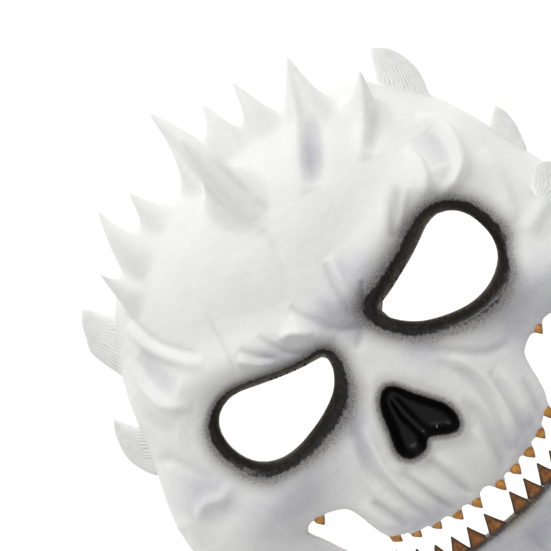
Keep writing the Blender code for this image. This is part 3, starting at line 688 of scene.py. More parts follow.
def near_gum(x, y, z):
    """The scalloped edge of the upper gum, which needs the finest mesh of the face."""
    gum = (np.abs(x) < GUM_HALF_WIDTH) & (y > GUM_SPAN[0]) & (y < GUM_SPAN[1])
    return gum & (z > GIRTH_HEIGHT)


def horn_test(share):
    """A test for places near a horn's foot, within a share of its half width."""
    def near_horn(x, y, z):
        found = np.zeros(x.shape, bool)
        for row in HORNS:
            angle, reach = place_of(row[1] * CRANIUM_HALF_WIDTH, row[2] * CROWN_HEIGHT)
            base = head_points(angle, reach)
            away = np.sqrt((x - base[0]) ** 2 + (y - base[1]) ** 2 + (z - base[2]) ** 2)
            found |= away < row[6] * CRANIUM_HALF_WIDTH * share
        return found
    return near_horn


def vertex_array(bm):
    return np.array([vert.co for vert in bm.verts])


def move_vertices(bm, points):
    for vert, point in zip(bm.verts, points.tolist()):
        vert.co = point


def cut_hole(bm, loop):
    """Open the sheet inside an outline, and lay the new edge on the outline."""
    bm.faces.ensure_lookup_table()
    centres = np.array([face.calc_center_median() for face in bm.faces])
    front = centres[:, 2] > GIRTH_HEIGHT
    chosen = np.flatnonzero(inside(centres[:, 0], centres[:, 1], loop) & front)
    bmesh.ops.delete(bm, geom=[bm.faces[index] for index in chosen], context="FACES")
    low, high = loop.min(axis=0) - CUT_MARGIN, loop.max(axis=0) + CUT_MARGIN
    edge = [
        vert for vert in bm.verts
        if vert.is_boundary and vert.co.z > GIRTH_HEIGHT
        and low[0] < vert.co.x < high[0] and low[1] < vert.co.y < high[1]
    ]
    starts, steps = loop[:-1], np.diff(loop, axis=0)
    sizes = (steps ** 2).sum(axis=1)
    for vert in edge:
        offset = np.array(vert.co.xy) - starts
        share = np.clip((offset * steps).sum(axis=1) / sizes, 0, 1)
        nearest = starts + steps * share[:, None]
        best = ((nearest - np.array(vert.co.xy)) ** 2).sum(axis=1).argmin()
        vert.co.x, vert.co.y = nearest[best]
    seen = dict.fromkeys(edge)
    ring = list(seen)
    for level in range(EASE_RINGS):
        around = dict.fromkeys(
            link.other_vert(vert) for vert in ring for link in vert.link_edges
        )
        ring = [vert for vert in around if vert not in seen]
        seen.update(dict.fromkeys(ring))
    moving = [vert for vert in list(seen)[len(edge):] if not vert.is_boundary]
    for turn in range(EASE_TURNS):
        targets = []
        for vert in moving:
            around = [link.other_vert(vert).co for link in vert.link_edges]
            targets.append(sum(around, Vector()) / len(around))
        for vert, target in zip(moving, targets):
            vert.co = vert.co.lerp(target, EASE_STEP)
        heights = []
        for vert in edge:
            beside = [link.other_vert(vert).co.z for link in vert.link_edges if link.is_boundary]
            heights.append(sum(beside) / len(beside))
        for vert, height in zip(edge, heights):
            vert.co.z += (height - vert.co.z) * EASE_STEP


def edge_loops(bm):
    """The open edges of a sheet, as closed rings of vertices."""
    left = dict.fromkeys(edge for edge in bm.edges if edge.is_boundary)
    rings = []
    while left:
        edge = next(iter(left))
        del left[edge]
        first, vert = edge.verts
        ring = [first, vert]
        while True:
            following = [link for link in vert.link_edges if link in left]
            if not following:
                break
            del left[following[0]]
            vert = following[0].other_vert(vert)
            if vert is first:
                break
            ring.append(vert)
        rings.append(ring)
    return rings


def ring_middle(ring):
    return sum((vert.co for vert in ring), Vector()) / len(ring)


def zip_rings(bm, ring, other):
    """Close the gap between two rings with a band of triangles."""
    start = ring[0].co
    first = min(range(len(other)), key=lambda index: (other[index].co - start).length)
    other = other[first:] + other[:first]
    quarter = ring[len(ring) // 4].co
    ahead = (other[len(other) // 4].co - quarter).length
    behind = (other[-len(other) // 4].co - quarter).length
    if behind < ahead:
        other = other[:1] + other[1:][::-1]
    shares = []
    for line in (ring, other):
        lengths = [0.0]
        for near, far in zip(line, line[1:] + line[:1]):
            lengths.append(lengths[-1] + (far.co - near.co).length)
        shares.append([length / lengths[-1] for length in lengths])
    near, far = 0, 0
    while near < len(ring) or far < len(other):
        low, high = ring[near % len(ring)], other[far % len(other)]
        if far == len(other) or (
            near < len(ring) and shares[0][near + 1] <= shares[1][far + 1]
        ):
            near += 1
            bm.faces.new((low, ring[near % len(ring)], high))
        else:
            far += 1
            bm.faces.new((low, other[far % len(other)], high))


def skin_sheet(cells, fine_areas, lift, detailed):
    """One side of the skin, with its openings cut."""
    bm = grid_places(cells, fine_areas)
    places = vertex_array(bm)
    points, normals = plain_skin(places[:, 0], places[:, 1])
    height = np.full(len(points), lift)
    if detailed:
        height += strokes_height(points[:, 0], points[:, 1])
        points = points + normals * height[:, None]
        for row in HORNS:
            points = points + horn_rise(points, row)
    else:
        points = points + normals * height[:, None]
    move_vertices(bm, points)
    for loop in (eye_loop(EYE_LEFT), eye_loop(EYE_RIGHT), mouth_loop()):
        cut_hole(bm, loop)
    points = vertex_array(bm)
    x, y = points[:, 0], points[:, 1]
    front = points[:, 2] > GIRTH_HEIGHT
    drop = np.zeros(len(points))
    for loop, reach, depth in (
        (eye_loop(EYE_LEFT), LID_REACH, LID_DROP),
        (eye_loop(EYE_RIGHT), LID_REACH, LID_DROP),
        (mouth_loop(), LIP_REACH, LIP_DROP),
    ):
        away, _ = path_distance(x, y, loop)
        drop += depth * np.maximum(0.0, 1 - away / reach) ** 2
    recess, _ = nose_recess(x, y)
    points[:, 2] -= np.where(front, drop + recess, 0.0)
    move_vertices(bm, points)
    return bm


def eye_loop(outline):
    return closed_loop(smooth_path([knot[:2] for knot in outline], OUTLINE_STEPS, True) * MM)


def lid_share(x, y, outline):
    """Distance from an eye hole in widths of its black band."""
    knots = smooth_path(outline, OUTLINE_STEPS, True) * MM
    loop = closed_loop(knots)
    away, part = path_distance(x, y, loop[:, :2])
    widths = np.interp(part * (len(loop) - 1), np.arange(len(loop)), loop[:, 2])
    return away / widths


def dust(x, y, rows):
    """How thickly rows of dust lie at places on the face."""
    total = np.zeros_like(x)
    for name, half_width, strength, points in rows:
        away, _ = path_distance(x, y, smooth_path(points, STROKE_STEPS, False) * MM)
        total = np.maximum(total, strength * np.exp(-(away / (half_width * MM)) ** 2))
    return total


def store(mesh, name, values):
    """Keep a number for each point of a mesh, for its material or its tree to read."""
    layer = mesh.attributes.new(name, "FLOAT", "POINT")
    layer.data.foreach_set("value", np.array(values, np.float32))


def paint_skin(mesh, inner_marks):
    """Store where each coat of paint and of painted shade lies, for the skin's material to read.
    """
    points = np.empty(len(mesh.vertices) * 3)
    mesh.vertices.foreach_get("co", points)
    points = points.reshape(-1, 3)
    x, y, z = points[:, 0], points[:, 1], points[:, 2]
    shade = np.zeros_like(x)
    for name, centre_x, centre_y, reach_x, reach_y, turn, strength in SHADES:
        spot = blob(x, y, centre_x * MM, centre_y * MM, reach_x * MM, reach_y * MM, turn)
        shade = 1 - (1 - shade) * (1 - strength * spot)
    _, inward = nose_recess(x, y)
    lids = np.minimum(lid_share(x, y, EYE_LEFT), lid_share(x, y, EYE_RIGHT))
    coats = {
        "lid": np.where(z > GIRTH_HEIGHT, lids, FAR_FROM_PAINT),
        "nostril": np.where(z > GIRTH_HEIGHT, inward / MM, -FAR_FROM_PAINT),
        # Airbrush, partly painted shade in the hollows and over the lower face
        "shade": shade,
        "soot": dust(x, y, SOOT),
        # Painted shade: the deeper a crease, the more grey
        "crease": np.clip(-strokes_height(x, y) / DEEPEST_STROKE, 0, 1),
        "stain": dust(x, y, STAIN),
        "inner": np.array(inner_marks, float),
    }
    for name, values in coats.items():
        store(mesh, name, values)


def node(tree, kind, inputs=None, output=0, **settings):
    """Add one node with its settings and its inputs, each a value or another node's socket,
    and give one of its outputs."""
    made = tree.nodes.new(kind)
    for name, value in settings.items():
        setattr(made, name, value)
    for name, value in (inputs or {}).items():
        if isinstance(value, bpy.types.NodeSocket):
            tree.links.new(value, made.inputs[name])
        else:
            made.inputs[name].default_value = value
    return made.outputs[output] if made.outputs else None


# What a step of a recipe adds, apart from plain arithmetic: the node, its inputs in the
# order in which a step gives them, and its settings. RAMP eases a value from one range
# (low, high) to another. NOISE takes a place, lumps per metre, detail and roughness.
STEPS = {
    "RAMP": ("ShaderNodeMapRange", ("Value", "From Min", "From Max", "To Min", "To Max"),
             {"interpolation_type": "SMOOTHSTEP"}),
    "NOISE": ("ShaderNodeTexNoise", ("Vector", "Scale", "Detail", "Roughness"),
              {"noise_dimensions": "3D"}),
}


def work_out(tree, fields, steps):
    """Add the nodes of a recipe. Each step gives the name of its result, its operation, and
    what goes in: numbers, or the names of earlier results."""
    for name, operation, *given in steps:
        taken = [fields[item] if isinstance(item, str) else item for item in given]
        kind, sockets, settings = STEPS.get(
            operation, ("ShaderNodeMath", (0, 1), {"operation": operation})
        )
        fields[name] = node(tree, kind, dict(zip(sockets, taken)), **settings)


def new_material(name, *coats):
    """A material's tree, with the point's place and the stored coats that it reads."""
    mat = bpy.data.materials.new(name)
    mat.use_nodes = True
    tree = mat.node_tree
    tree.nodes.clear()
    fields = {"place": node(tree, "ShaderNodeTexCoord", output="Object")}
    for coat in coats:
        fields[coat] = node(tree, "ShaderNodeAttribute", output="Fac", attribute_name=coat)
    return mat, tree, fields


def layered(tree, fields, colour, layers):
    """Lay coats over a colour, each by the share that its field gives. A coat is written as
    sRGB hex or given as linear numbers or a socket."""
    colour = (*colour, 1.0)
    for share, coat in layers:
        if isinstance(coat, str):
            coat = linear(coat)
        if not isinstance(coat, bpy.types.NodeSocket):
            coat = (*coat, 1.0)
        colour = node(tree, "ShaderNodeMix", {"Factor": fields[share], 6: colour, 7: coat},
                      output=2, data_type="RGBA")
    return colour


def surface(tree, shader_inputs, bump):
    """End a material in one shader, with a bump on it."""
    normal = node(tree, "ShaderNodeBump", bump)
    shader = node(tree, "ShaderNodeBsdfPrincipled", {**shader_inputs, "Normal": normal})
    node(tree, "ShaderNodeOutputMaterial", {"Surface": shader})


def painted_latex():
    """Moulded natural latex under matt white paint: chalky, faintly mottled, with a soft grey
    airbrush that is partly painted shade, in the hollows and over the lower face, painted shade
    in the creases, and black sprayed round the eyes and in the nose."""
    settings = settings_of("skin")
    mat, tree, fields = new_material(
        "painted_moulded_latex", "lid", "nostril", "soot", "stain", "shade", "inner", "crease"
    )
    # The brush's streaks run along the head
    fields["streak_place"] = node(tree, "ShaderNodeMapping", {
        "Scale": (1.0, 0.45, 1.0), "Vector": fields["place"],
    })
    work_out(tree, fields, (
        ("cloud", "NOISE", "place", 1 / (9 * MM), 4.0, 0.5),
        ("grain", "NOISE", "place", 1 / (0.55 * MM), 2.0, 0.5),
        ("fine", "NOISE", "place", 1 / (0.42 * MM), 1.0, 0.5),
        ("streak", "NOISE", "streak_place", 1 / (1.3 * MM), 3.0, 0.5),
        ("lumps", "NOISE", "place", 1 / (5 * MM), 3.0, 0.6),
        # The airbrush, partly painted shade, and the faint grey of chalky paint
        ("mottle", "RAMP", "cloud", 0.3, 0.7, 0.75, 1.2),
        ("mottled_airbrush_and_shade", "MULTIPLY", "shade", "mottle"),
        ("clouded", "RAMP", "cloud", 0.35, 0.75, 0.0, 0.16),
        # Painted shade in the creases of the tool's strokes
        ("painted_crease_shade", "RAMP", "crease", 0.10, 1.0, 0.0, 0.28),
        ("flecked", "RAMP", "fine", 0.62, 0.8, 0.0, 0.10),
        ("flecks", "RAMP", "fine", 0.48, 0.72, 0.0, 0.45),
        ("dusting", "MULTIPLY", "shade", "flecks"),
        ("spots", "RAMP", "grain", 0.3, 0.6, 0.3, 0.9),
        ("stained", "MULTIPLY", "stain", "spots"),
        # Spray dust: single dark specks, thinner with distance from the band
        ("reach", "RAMP", "lid", 0.8, 2.8, 0.82, 0.0),
        ("near_nose", "RAMP", "nostril", -5.5, 0.0, 0.0, 0.84),
        ("sprayed", "MAXIMUM", "reach", "near_nose"),
        ("dusty", "MAXIMUM", "sprayed", "soot"),
        ("dusty_grain", "ADD", "dusty", "grain"),
        ("over", "SUBTRACT", "dusty_grain", 0.94),
        ("speck", "RAMP", "over", 0.0, 0.45, 0.0, 0.60),
        ("haze", "MULTIPLY", "dusty", 0.85),
        # Grime at the jaw's edge, with a ragged border
        ("grain_turn", "SUBTRACT", "grain", 0.5),
        ("loose", "MULTIPLY", "grain_turn", 1.6),
        ("soot_edge", "ADD", "soot", "loose"),
        ("grime", "RAMP", "soot_edge", 0.70, 1.15, 0.0, 0.70),
        # The black band, brushed on, and worn on its streaks
        ("streak_turn", "SUBTRACT", "streak", 0.5),
        ("ragged", "MULTIPLY", "streak_turn", 0.55),
        ("lid_edge", "ADD", "lid", "ragged"),
        ("band", "RAMP", "lid_edge", 0.86, 1.10, 1.0, 0.0),
        ("wear", "RAMP", "streak", 0.55, 0.75, 0.0, 0.35),
        ("worn", "MULTIPLY", "band", "wear"),
        ("ragged_more", "MULTIPLY", "ragged", 2.2),
        ("nose_edge", "ADD", "nostril", "ragged_more"),
        ("black", "RAMP", "nose_edge", -0.7, 0.15, 0.0, 1.0),
        ("bare", "RAMP", "inner", 0.6, 1.0, 0.0, 1.0),
        # Black paint is glossier than the white
        ("band_gloss", "MULTIPLY", "band", -0.22),
        ("black_gloss", "MULTIPLY", "black", -0.12),
        ("gloss", "ADD", "band_gloss", "black_gloss"),
        ("even_rough", "ADD", "gloss", 0.56),
        ("grain_rough", "RAMP", "grain", 0.2, 0.8, -0.05, 0.05),
        ("rough", "ADD", "even_rough", "grain_rough"),
        ("grain_height", "MULTIPLY", "grain", 0.12),
        ("height", "ADD", "grain_height", "lumps"),
    ))
    # Unpainted latex inside and at the cut edges: cream, a little dusty
    cream = layered(tree, fields, linear("#D8D2C2"), [("cloud", "#C6BEAC")])
    # Coats over the white, among them the airbrush with its painted shade and the painted crease
    # shade
    colour = layered(tree, fields, settings.white, [
        ("mottled_airbrush_and_shade", settings.airbrush_and_shade), ("clouded", "#D9D9DE"), ("painted_crease_shade", "#9C9BA2"),
        ("flecked", "#9A9A9C"), ("dusting", "#8A898F"), ("stained", "#A8A04A"),
        ("haze", "#6E6A68"), ("speck", "#3A3634"), ("grime", "#42382E"),
        ("band", settings.band), ("worn", "#5A524C"), ("black", settings.nose),
        ("bare", cream),
    ])
    surface(tree, {
        "Base Color": colour, "Roughness": fields["rough"], "IOR": 1.52, "Metallic": 0.0,
        "Specular IOR Level": 0.32,
    }, {"Strength": 0.6, "Distance": 0.8 * MM, "Height": fields["height"]})
    return mat


def grooved_latex():
    """The same white paint on the thin fins, with painted shade: a little grey laid into the
    grooves.
    """
    settings = settings_of("fins")
    mat, tree, fields = new_material("grooved_fin_latex", "groove")
    work_out(tree, fields, (
        ("cloud", "NOISE", "place", 1 / (6 * MM), 3.0, 0.5),
        ("grain", "NOISE", "place", 1 / (0.5 * MM), 2.0, 0.5),
        # Painted shade in the grooves, patchy with the cloud
        ("groove_shade_patches", "RAMP", "cloud", 0.3, 0.7, 0.25, 0.75),
        ("painted_groove_shade", "MULTIPLY", "groove", "groove_shade_patches"),
        ("flecked", "RAMP", "grain", 0.62, 0.8, 0.0, 0.12),
        ("rough", "RAMP", "grain", 0.2, 0.8, 0.52, 0.64),
    ))
    colour = layered(tree, fields, settings.white, [
        ("painted_groove_shade", settings.groove_shade_colour), ("flecked", "#A8A8A6"),
    ])
    surface(tree, {
        "Base Color": colour, "Roughness": fields["rough"], "IOR": 1.52, "Metallic": 0.0,
    }, {"Strength": 0.2, "Distance": 0.2 * MM, "Height": fields["grain"]})
    return mat


def tooth_paint(name, settings):
    """Stained and varnished latex teeth: a warm body, darker edges and tip, a wet gloss."""
    mat, tree, fields = new_material(name, "along", "rim")
    work_out(tree, fields, (
        ("blotch", "NOISE", "place", 1 / (1.6 * MM), 3.0, 0.5),
        ("grain", "NOISE", "place", 1 / (0.4 * MM), 2.0, 0.5),
        ("blotched", "RAMP", "blotch", 0.35, 0.7, 0.0, 0.7),
        ("grain_turn", "SUBTRACT", "grain", 0.5),
        ("ragged", "MULTIPLY", "grain_turn", 0.5),
        ("rim_edge", "ADD", "rim", "ragged"),
        ("rimmed", "RAMP", "rim_edge", 0.45, 0.90, 0.0, 0.95),
        ("tipped", "RAMP", "along", 0.55, 1.0, 0.0, 0.85),
        ("footed", "RAMP", "along", 0.16, -0.04, 0.0, 0.8),
        ("rough", "RAMP", "grain", 0.2, 0.8, 0.26, 0.44),
        ("height", "ADD", "blotch", "grain"),
    ))
    colour = layered(tree, fields, settings.body, [
        ("blotched", settings.edge), ("rimmed", settings.edge), ("tipped", settings.tip),
        ("footed", settings.edge),
    ])
    surface(tree, {
        "Base Color": colour, "Roughness": fields["rough"], "IOR": 1.5, "Metallic": 0.0,
    }, {"Strength": 0.35, "Distance": 0.3 * MM, "Height": fields["height"]})
    return mat


def settings_of(piece):
    return getattr(bpy.context.scene, "skull_mask_" + piece)


def link_object(name, data):
    made = bpy.data.objects.new(name, data)
    bpy.context.scene.collection.objects.link(made)
    return made


def length_field(name, description, default):
    return bpy.props.FloatProperty(
        name=name, description=description, default=default, min=0.0, unit="LENGTH"
    )


def colour_field(name, description, default):
    return bpy.props.FloatVectorProperty(
        name=name, description=description, default=linear(default),
        size=3, min=0.0, max=1.0, subtype="COLOR",
    )


class SkinSettings(bpy.types.PropertyGroup):
    wall: length_field("Wall", "Thickness of the latex", 3 * MM)
    white: colour_field("White", "Paint on the skull", "#EEEEEC")
    # Airbrushed grey, partly painted shade in the hollows and over the lower face
    airbrush_and_shade: colour_field("Airbrush", "Soft shade in the hollows", "#B4B3BF")
    band: colour_field("Eye Band", "Paint round the eye holes", "#130F0D")
    nose: colour_field("Nose", "Paint in the nose", "#030202")


class FinSettings(bpy.types.PropertyGroup):
    thickness: length_field("Thickness", "Thickness of a fin at its middle", 4.2 * MM)
    groove_depth: length_field("Groove Depth", "Depth of the grooves", 0.11 * MM)
    groove_count: bpy.props.IntProperty(
        name="Grooves", description="Number of grooves across a fin", default=15, min=1
    )
    white: colour_field("White", "Paint on the fins", "#F5F5F3")
    # Colour of the painted shade in the grooves
    groove_shade_colour: colour_field("Groove Shade", "Painted shade in the grooves", "#B9B8B2")


class UpperTeethSettings(bpy.types.PropertyGroup):
    width: length_field("Width", "Width of a tooth", 4.7 * MM)
    depth: length_field("Depth", "Front to back size of a tooth", 3.6 * MM)
    body: colour_field("Body", "Colour of a tooth's middle", "#DA9A45")
    edge: colour_field("Edge", "Colour of a tooth's sides", "#A5651F")
    tip: colour_field("Tip", "Colour of a tooth's point", "#744517")


class LowerTeethSettings(bpy.types.PropertyGroup):
    width: length_field("Width", "Width of a tooth at the gum", 8.4 * MM)
    depth: length_field("Depth", "Front to back size of a tooth", 3.8 * MM)
    body: colour_field("Body", "Colour of a tooth's middle", "#A9661F")
    edge: colour_field("Edge", "Colour of a tooth's sides", "#3E3124")
    tip: colour_field("Tip", "Colour of a tooth's point", "#4A453C")


class StageSettings(bpy.types.PropertyGroup):
    floor_size: length_field("Floor", "Width of the floor", 6.0)
    floor_white: colour_field("Floor White", "Colour of the floor", "#FFFFFF")
    key_power: bpy.props.FloatProperty(
        name="Key Light", description="Power of the large soft light", default=4.9,
        min=0.0, unit="POWER",
    )
    fill_power: bpy.props.FloatProperty(
        name="Fill Light", description="Power of the light opposite", default=0.25,
        min=0.0, unit="POWER",
    )
    ambient: bpy.props.FloatProperty(
        name="Ambient", description="Brightness of the white surroundings", default=0.54,
        min=0.0,
    )


class SKULLMASK_OT_skin(bpy.types.Operator):
    """Build the moulded skin with its horns, openings and paint"""

    bl_idname = "skull_mask.skin"
    bl_label = "Skin and Horns"

    def execute(self, context):
        share = 1.0
        fine_areas = (near_detail, near_gum, horn_test(HORN_NEAR), horn_test(HORN_TIP_NEAR))
        outer = skin_sheet(int(OUTER_CELLS * share), fine_areas, 0.0, True)
        edges = [edge for edge in outer.edges if edge.is_boundary]
        for vert in bmesh.ops.extrude_edge_only(outer, edges=edges)["geom"]:
            if isinstance(vert, bmesh.types.BMVert) and vert.co.z > GIRTH_HEIGHT:
                vert.co.z -= CUT_CORNER
        wall = settings_of("skin").wall
        inner = skin_sheet(int(INNER_CELLS * share), (near_gum, near_gum), -wall, False)
        bmesh.ops.reverse_faces(inner, faces=inner.faces)
        outer_verts = set(outer.verts)
        holder = bpy.data.meshes.new("inner_sheet")
        inner.to_mesh(holder)
        inner.free()
        outer.from_mesh(holder)
        bpy.data.meshes.remove(holder)
        rings = edge_loops(outer)
        outside = [ring for ring in rings if ring[0] in outer_verts]
        within = [ring for ring in rings if ring[0] not in outer_verts]
        if len(outside) != OPEN_RINGS or len(within) != OPEN_RINGS:
            raise RuntimeError(f"the skin has {len(outside)} and {len(within)} open rings")
        for ring in outside:
            middle = ring_middle(ring)
            partner = min(within, key=lambda other: (ring_middle(other) - middle).length)
            zip_rings(outer, ring, partner)
        bmesh.ops.recalc_face_normals(outer, faces=outer.faces)
        inner_marks = [vert not in outer_verts for vert in outer.verts]
        mesh = bpy.data.meshes.new("skull_skin")
        outer.to_mesh(mesh)
        outer.free()
        paint_skin(mesh, inner_marks)
        mesh.transform(Matrix.Translation((BRIDGE_X, BRIDGE_Y, 0)))
        mesh.shade_smooth()
        mesh.materials.append(painted_latex())
        skin = link_object("skull_skin", mesh)
        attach(skin, "root")
        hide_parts("skull_shell")
        return {"FINISHED"}


def fin_sheet(side, level, tip, outline):
    """A fin's two faces as a closed grid whose lines all run from the root to the tip."""
    half_thickness = settings_of("fins").thickness / 2
    height = level * DEPTH
    knots = [(side * (wall_x(up * CROWN_HEIGHT, height) + out * FIN_REACH), up * CROWN_HEIGHT)
             for out, up in outline]
    inner_edge, outer_edge = (
        even_path(smooth_path(edge, OUTLINE_STEPS, False), FIN_ALONG)
        for edge in (knots[:tip + 1], knots[tip:][::-1])
    )
    points, across_values, groove_fade = [], [], []
    for face in (1, -1):
        for row in range(FIN_ALONG + 1):
            along = row / FIN_ALONG
            taper = (1 - along ** FIN_TAPER[0]) ** FIN_TAPER[1]
            swell = 1 + FIN_ROOT_SWELL * math.exp(-along / FIN_ROOT)
            ends = min(1.0, along * GROOVE_ENDS[0]) * min(1.0, (1 - along) * GROOVE_ENDS[1])
            for column in range(FIN_ACROSS + 1):
                across = column / FIN_ACROSS
                x, y = inner_edge[row] * (1 - across) + outer_edge[row] * across
                belly = (1 - abs(2 * across - 1) ** FIN_BELLY[0]) ** FIN_BELLY[1]
                points.append((x, y, height + face * half_thickness * belly * taper * swell))
                across_values.append(across)
                groove_fade.append(ends * belly)
    count = (FIN_ALONG + 1) * (FIN_ACROSS + 1)
    faces = []
    for row in range(FIN_ALONG):
        for column in range(FIN_ACROSS):
            start = row * (FIN_ACROSS + 1) + column
            quad = (start, start + 1, start + FIN_ACROSS + 2, start + FIN_ACROSS + 1)
            faces.append(quad)
            faces.append(tuple(index + count for index in quad[::-1]))
    for column in range(FIN_ACROSS):
        faces.append((column + 1, column, column + count, column + count + 1))
    mesh = bpy.data.meshes.new("fin_sheet")
    mesh.from_pydata(points, [], faces)
    store(mesh, "across", across_values)
    store(mesh, "fade", groove_fade)
    bm = bmesh.new()
    bm.from_mesh(mesh)
    bmesh.ops.remove_doubles(bm, verts=bm.verts, dist=FIN_WELD)
    bmesh.ops.recalc_face_normals(bm, faces=bm.faces)
    bmesh.ops.translate(bm, verts=bm.verts, vec=(BRIDGE_X, BRIDGE_Y, 0))
    bm.to_mesh(mesh)
    bm.free()
    mesh.shade_smooth()
    return mesh


def even_path(points, cells):
    """The same path with its points at even distances."""
    lengths = np.concatenate(([0], np.cumsum(np.linalg.norm(np.diff(points, axis=0), axis=1))))
    wanted = np.linspace(0, lengths[-1], cells + 1)
    return np.stack([np.interp(wanted, lengths, points[:, axis]) for axis in (0, 1)], axis=1)


def new_tree(name, sizes):
    """A Geometry Nodes tree with a named input for each size, and the sockets they give."""
    tree = bpy.data.node_groups.new(name, "GeometryNodeTree")
    for label, kind in {"Geometry": "NodeSocketGeometry", **sizes}.items():
        tree.interface.new_socket(label, in_out="INPUT", socket_type=kind)
    tree.interface.new_socket("Geometry", in_out="OUTPUT", socket_type="NodeSocketGeometry")
    return tree, node(tree, "NodeGroupInput").node.outputs


def end_tree(tree, geometry, mat):
    """The export drops instances, so each tree ends with real, coated geometry."""
    real = node(tree, "GeometryNodeRealizeInstances", {"Geometry": geometry})
    coated = node(tree, "GeometryNodeSetMaterial", {"Geometry": real, "Material": mat})
    node(tree, "NodeGroupOutput", {"Geometry": coated})
    return tree


def groove_tree(mat):
    """Press even grooves into a fin: each follows a line of the sheet from root to tip."""
    tree, given = new_tree("fin_grooves", {
        "Groove Depth": "NodeSocketFloat", "Groove Count": "NodeSocketInt",
    })
    fields = {
        "place": node(tree, "GeometryNodeInputPosition"),
        "count": given["Groove Count"], "depth": given["Groove Depth"],
    }
    for name in ("across", "fade"):
        fields[name] = node(tree, "GeometryNodeInputNamedAttribute", {"Name": name},
                            output="Attribute", data_type="FLOAT")
    work_out(tree, fields, (
        ("noise", "NOISE", "place", 1 / (5 * MM), 2.0, 0.5),
        ("wander", "SUBTRACT", "noise", 0.5),
        ("drift", "MULTIPLY", "wander", 0.14),
        ("uneven", "ADD", "across", "drift"),
        ("phase", "MULTIPLY", "uneven", "count"),
        ("turn", "MULTIPLY", "phase", math.tau),
        ("cosine", "COSINE", "turn"),
        ("raised", "ADD", "cosine", 1.0),
        ("halved", "MULTIPLY", "raised", 0.5),
        ("sharp", "POWER", "halved", 1.6),
        ("wave", "MULTIPLY", "sharp", "fade"),
        ("pressed", "MULTIPLY", "wave", "depth"),
        ("inward", "MULTIPLY", "pressed", -1.0),
    ))
    offset = node(tree, "ShaderNodeVectorMath", {
        0: node(tree, "GeometryNodeInputNormal", output="Normal"), "Scale": fields["inward"],
    }, operation="SCALE")
    marked = node(tree, "GeometryNodeStoreNamedAttribute", {
        "Geometry": given["Geometry"], "Name": "groove", "Value": fields["wave"],
    }, data_type="FLOAT", domain="POINT")
    moved = node(tree, "GeometryNodeSetPosition", {"Geometry": marked, "Offset": offset})
    return end_tree(tree, moved, mat)


def plain_result(name, mesh, tree, inputs):
    """Run a node tree on a mesh once, and keep what it makes as a plain mesh object."""
    source = link_object(name + "_source", mesh)
    modifier = source.modifiers.new("build", "NODES")
    modifier.node_group = tree
    for item in tree.interface.items_tree:
        if item.in_out == "INPUT" and item.name in inputs:
            modifier[item.identifier] = inputs[item.name]
    bpy.context.view_layer.update()
    evaluated = source.evaluated_get(bpy.context.evaluated_depsgraph_get())
    result = bpy.data.meshes.new_from_object(evaluated)
    result.name = name
    source.modifiers.remove(modifier)
    bpy.data.objects.remove(source, do_unlink=True)
    return link_object(name, result)


class SKULLMASK_OT_fins(bpy.types.Operator):
    """Build the grooved fins along the sides of the head"""

    bl_idname = "skull_mask.fins"
    bl_label = "Side Fins"

    def execute(self, context):
        settings = settings_of("fins")
        sizes = {"Groove Depth": settings.groove_depth, "Groove Count": settings.groove_count}
        tree = groove_tree(grooved_latex())
        for name, label, level, tip, outline in FINS:
            mesh = fin_sheet(-1 if label == "left" else 1, level, tip, outline)
            fin = plain_result(f"fin_blade_{label}_{name}", mesh, tree, sizes)
            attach(fin, "root")
            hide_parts(f"fin_{label}_{name}")
        return {"FINISHED"}


def tooth_shape(name, profile, sides):
    """One tooth, a unit wide and long, pointing along Z, with its root below zero."""
    tooth_places, half_widths = zip(*profile)
    places = np.linspace(tooth_places[0], 1.0, TOOTH_RINGS)
    radii = np.interp(places, tooth_places, half_widths)
    bm = bmesh.new()
    loops = []
    for along, radius in zip(places.tolist(), radii.tolist()):
        lean = TOOTH_CURL * max(0.0, along) ** 2
        loop = []
        for side in range(sides):
            turn = math.tau * side / sides
            flat = abs(math.cos(turn)) ** TOOTH_FLATNESS * math.copysign(1, math.cos(turn))
            loop.append(bm.verts.new((radius * flat, radius * math.sin(turn) - lean, along)))
        loops.append(loop)
    for low, high in zip(loops, loops[1:]):
        for side in range(sides):
            after = (side + 1) % sides
            bm.faces.new((low[side], low[after], high[after], high[side]))
    bm.faces.new(loops[0][::-1])
    bm.faces.new(loops[-1])
    mesh = bpy.data.meshes.new(name)
    bm.to_mesh(mesh)
    bm.free()
    store(mesh, "along", [vert.co.z for vert in mesh.vertices])
    store(mesh, "rim", [
        min(1.0, abs(vert.co.x) / float(np.interp(vert.co.z, places, radii)))
        for vert in mesh.vertices
    ])
    mesh.shade_smooth()
    return mesh


def tooth_tree(name, shape, mat):
    """Stand one tooth on each seat, turned and sized by the seat, and vary them a little."""
    tree, given = new_tree(name, {
        "Width": "NodeSocketFloat", "Depth": "NodeSocketFloat", "Seed": "NodeSocketInt",
    })
    tooth = node(tree, "GeometryNodeObjectInfo", {"Object": shape, "As Instance": True},
                 output="Geometry", transform_space="ORIGINAL")
    low, high = TOOTH_VARIETY
    vary = node(tree, "FunctionNodeRandomValue", {2: low, 3: high, "Seed": given["Seed"]},
                output=1, data_type="FLOAT")
    width = node(tree, "ShaderNodeMath", {0: given["Width"], 1: vary}, operation="MULTIPLY")
    reach, turn = (
        node(tree, "GeometryNodeInputNamedAttribute", {"Name": name},
             output="Attribute", data_type=kind)
        for name, kind in (("reach", "FLOAT"), ("turn", "FLOAT_VECTOR"))
    )
    size = node(tree, "ShaderNodeCombineXYZ", {"X": width, "Y": given["Depth"], "Z": reach})
    turned = node(tree, "FunctionNodeEulerToRotation", {0: turn})
    placed = node(tree, "GeometryNodeInstanceOnPoints", {
        "Points": given["Geometry"], "Instance": tooth, "Rotation": turned, "Scale": size,
    })
    return end_tree(tree, placed, mat)


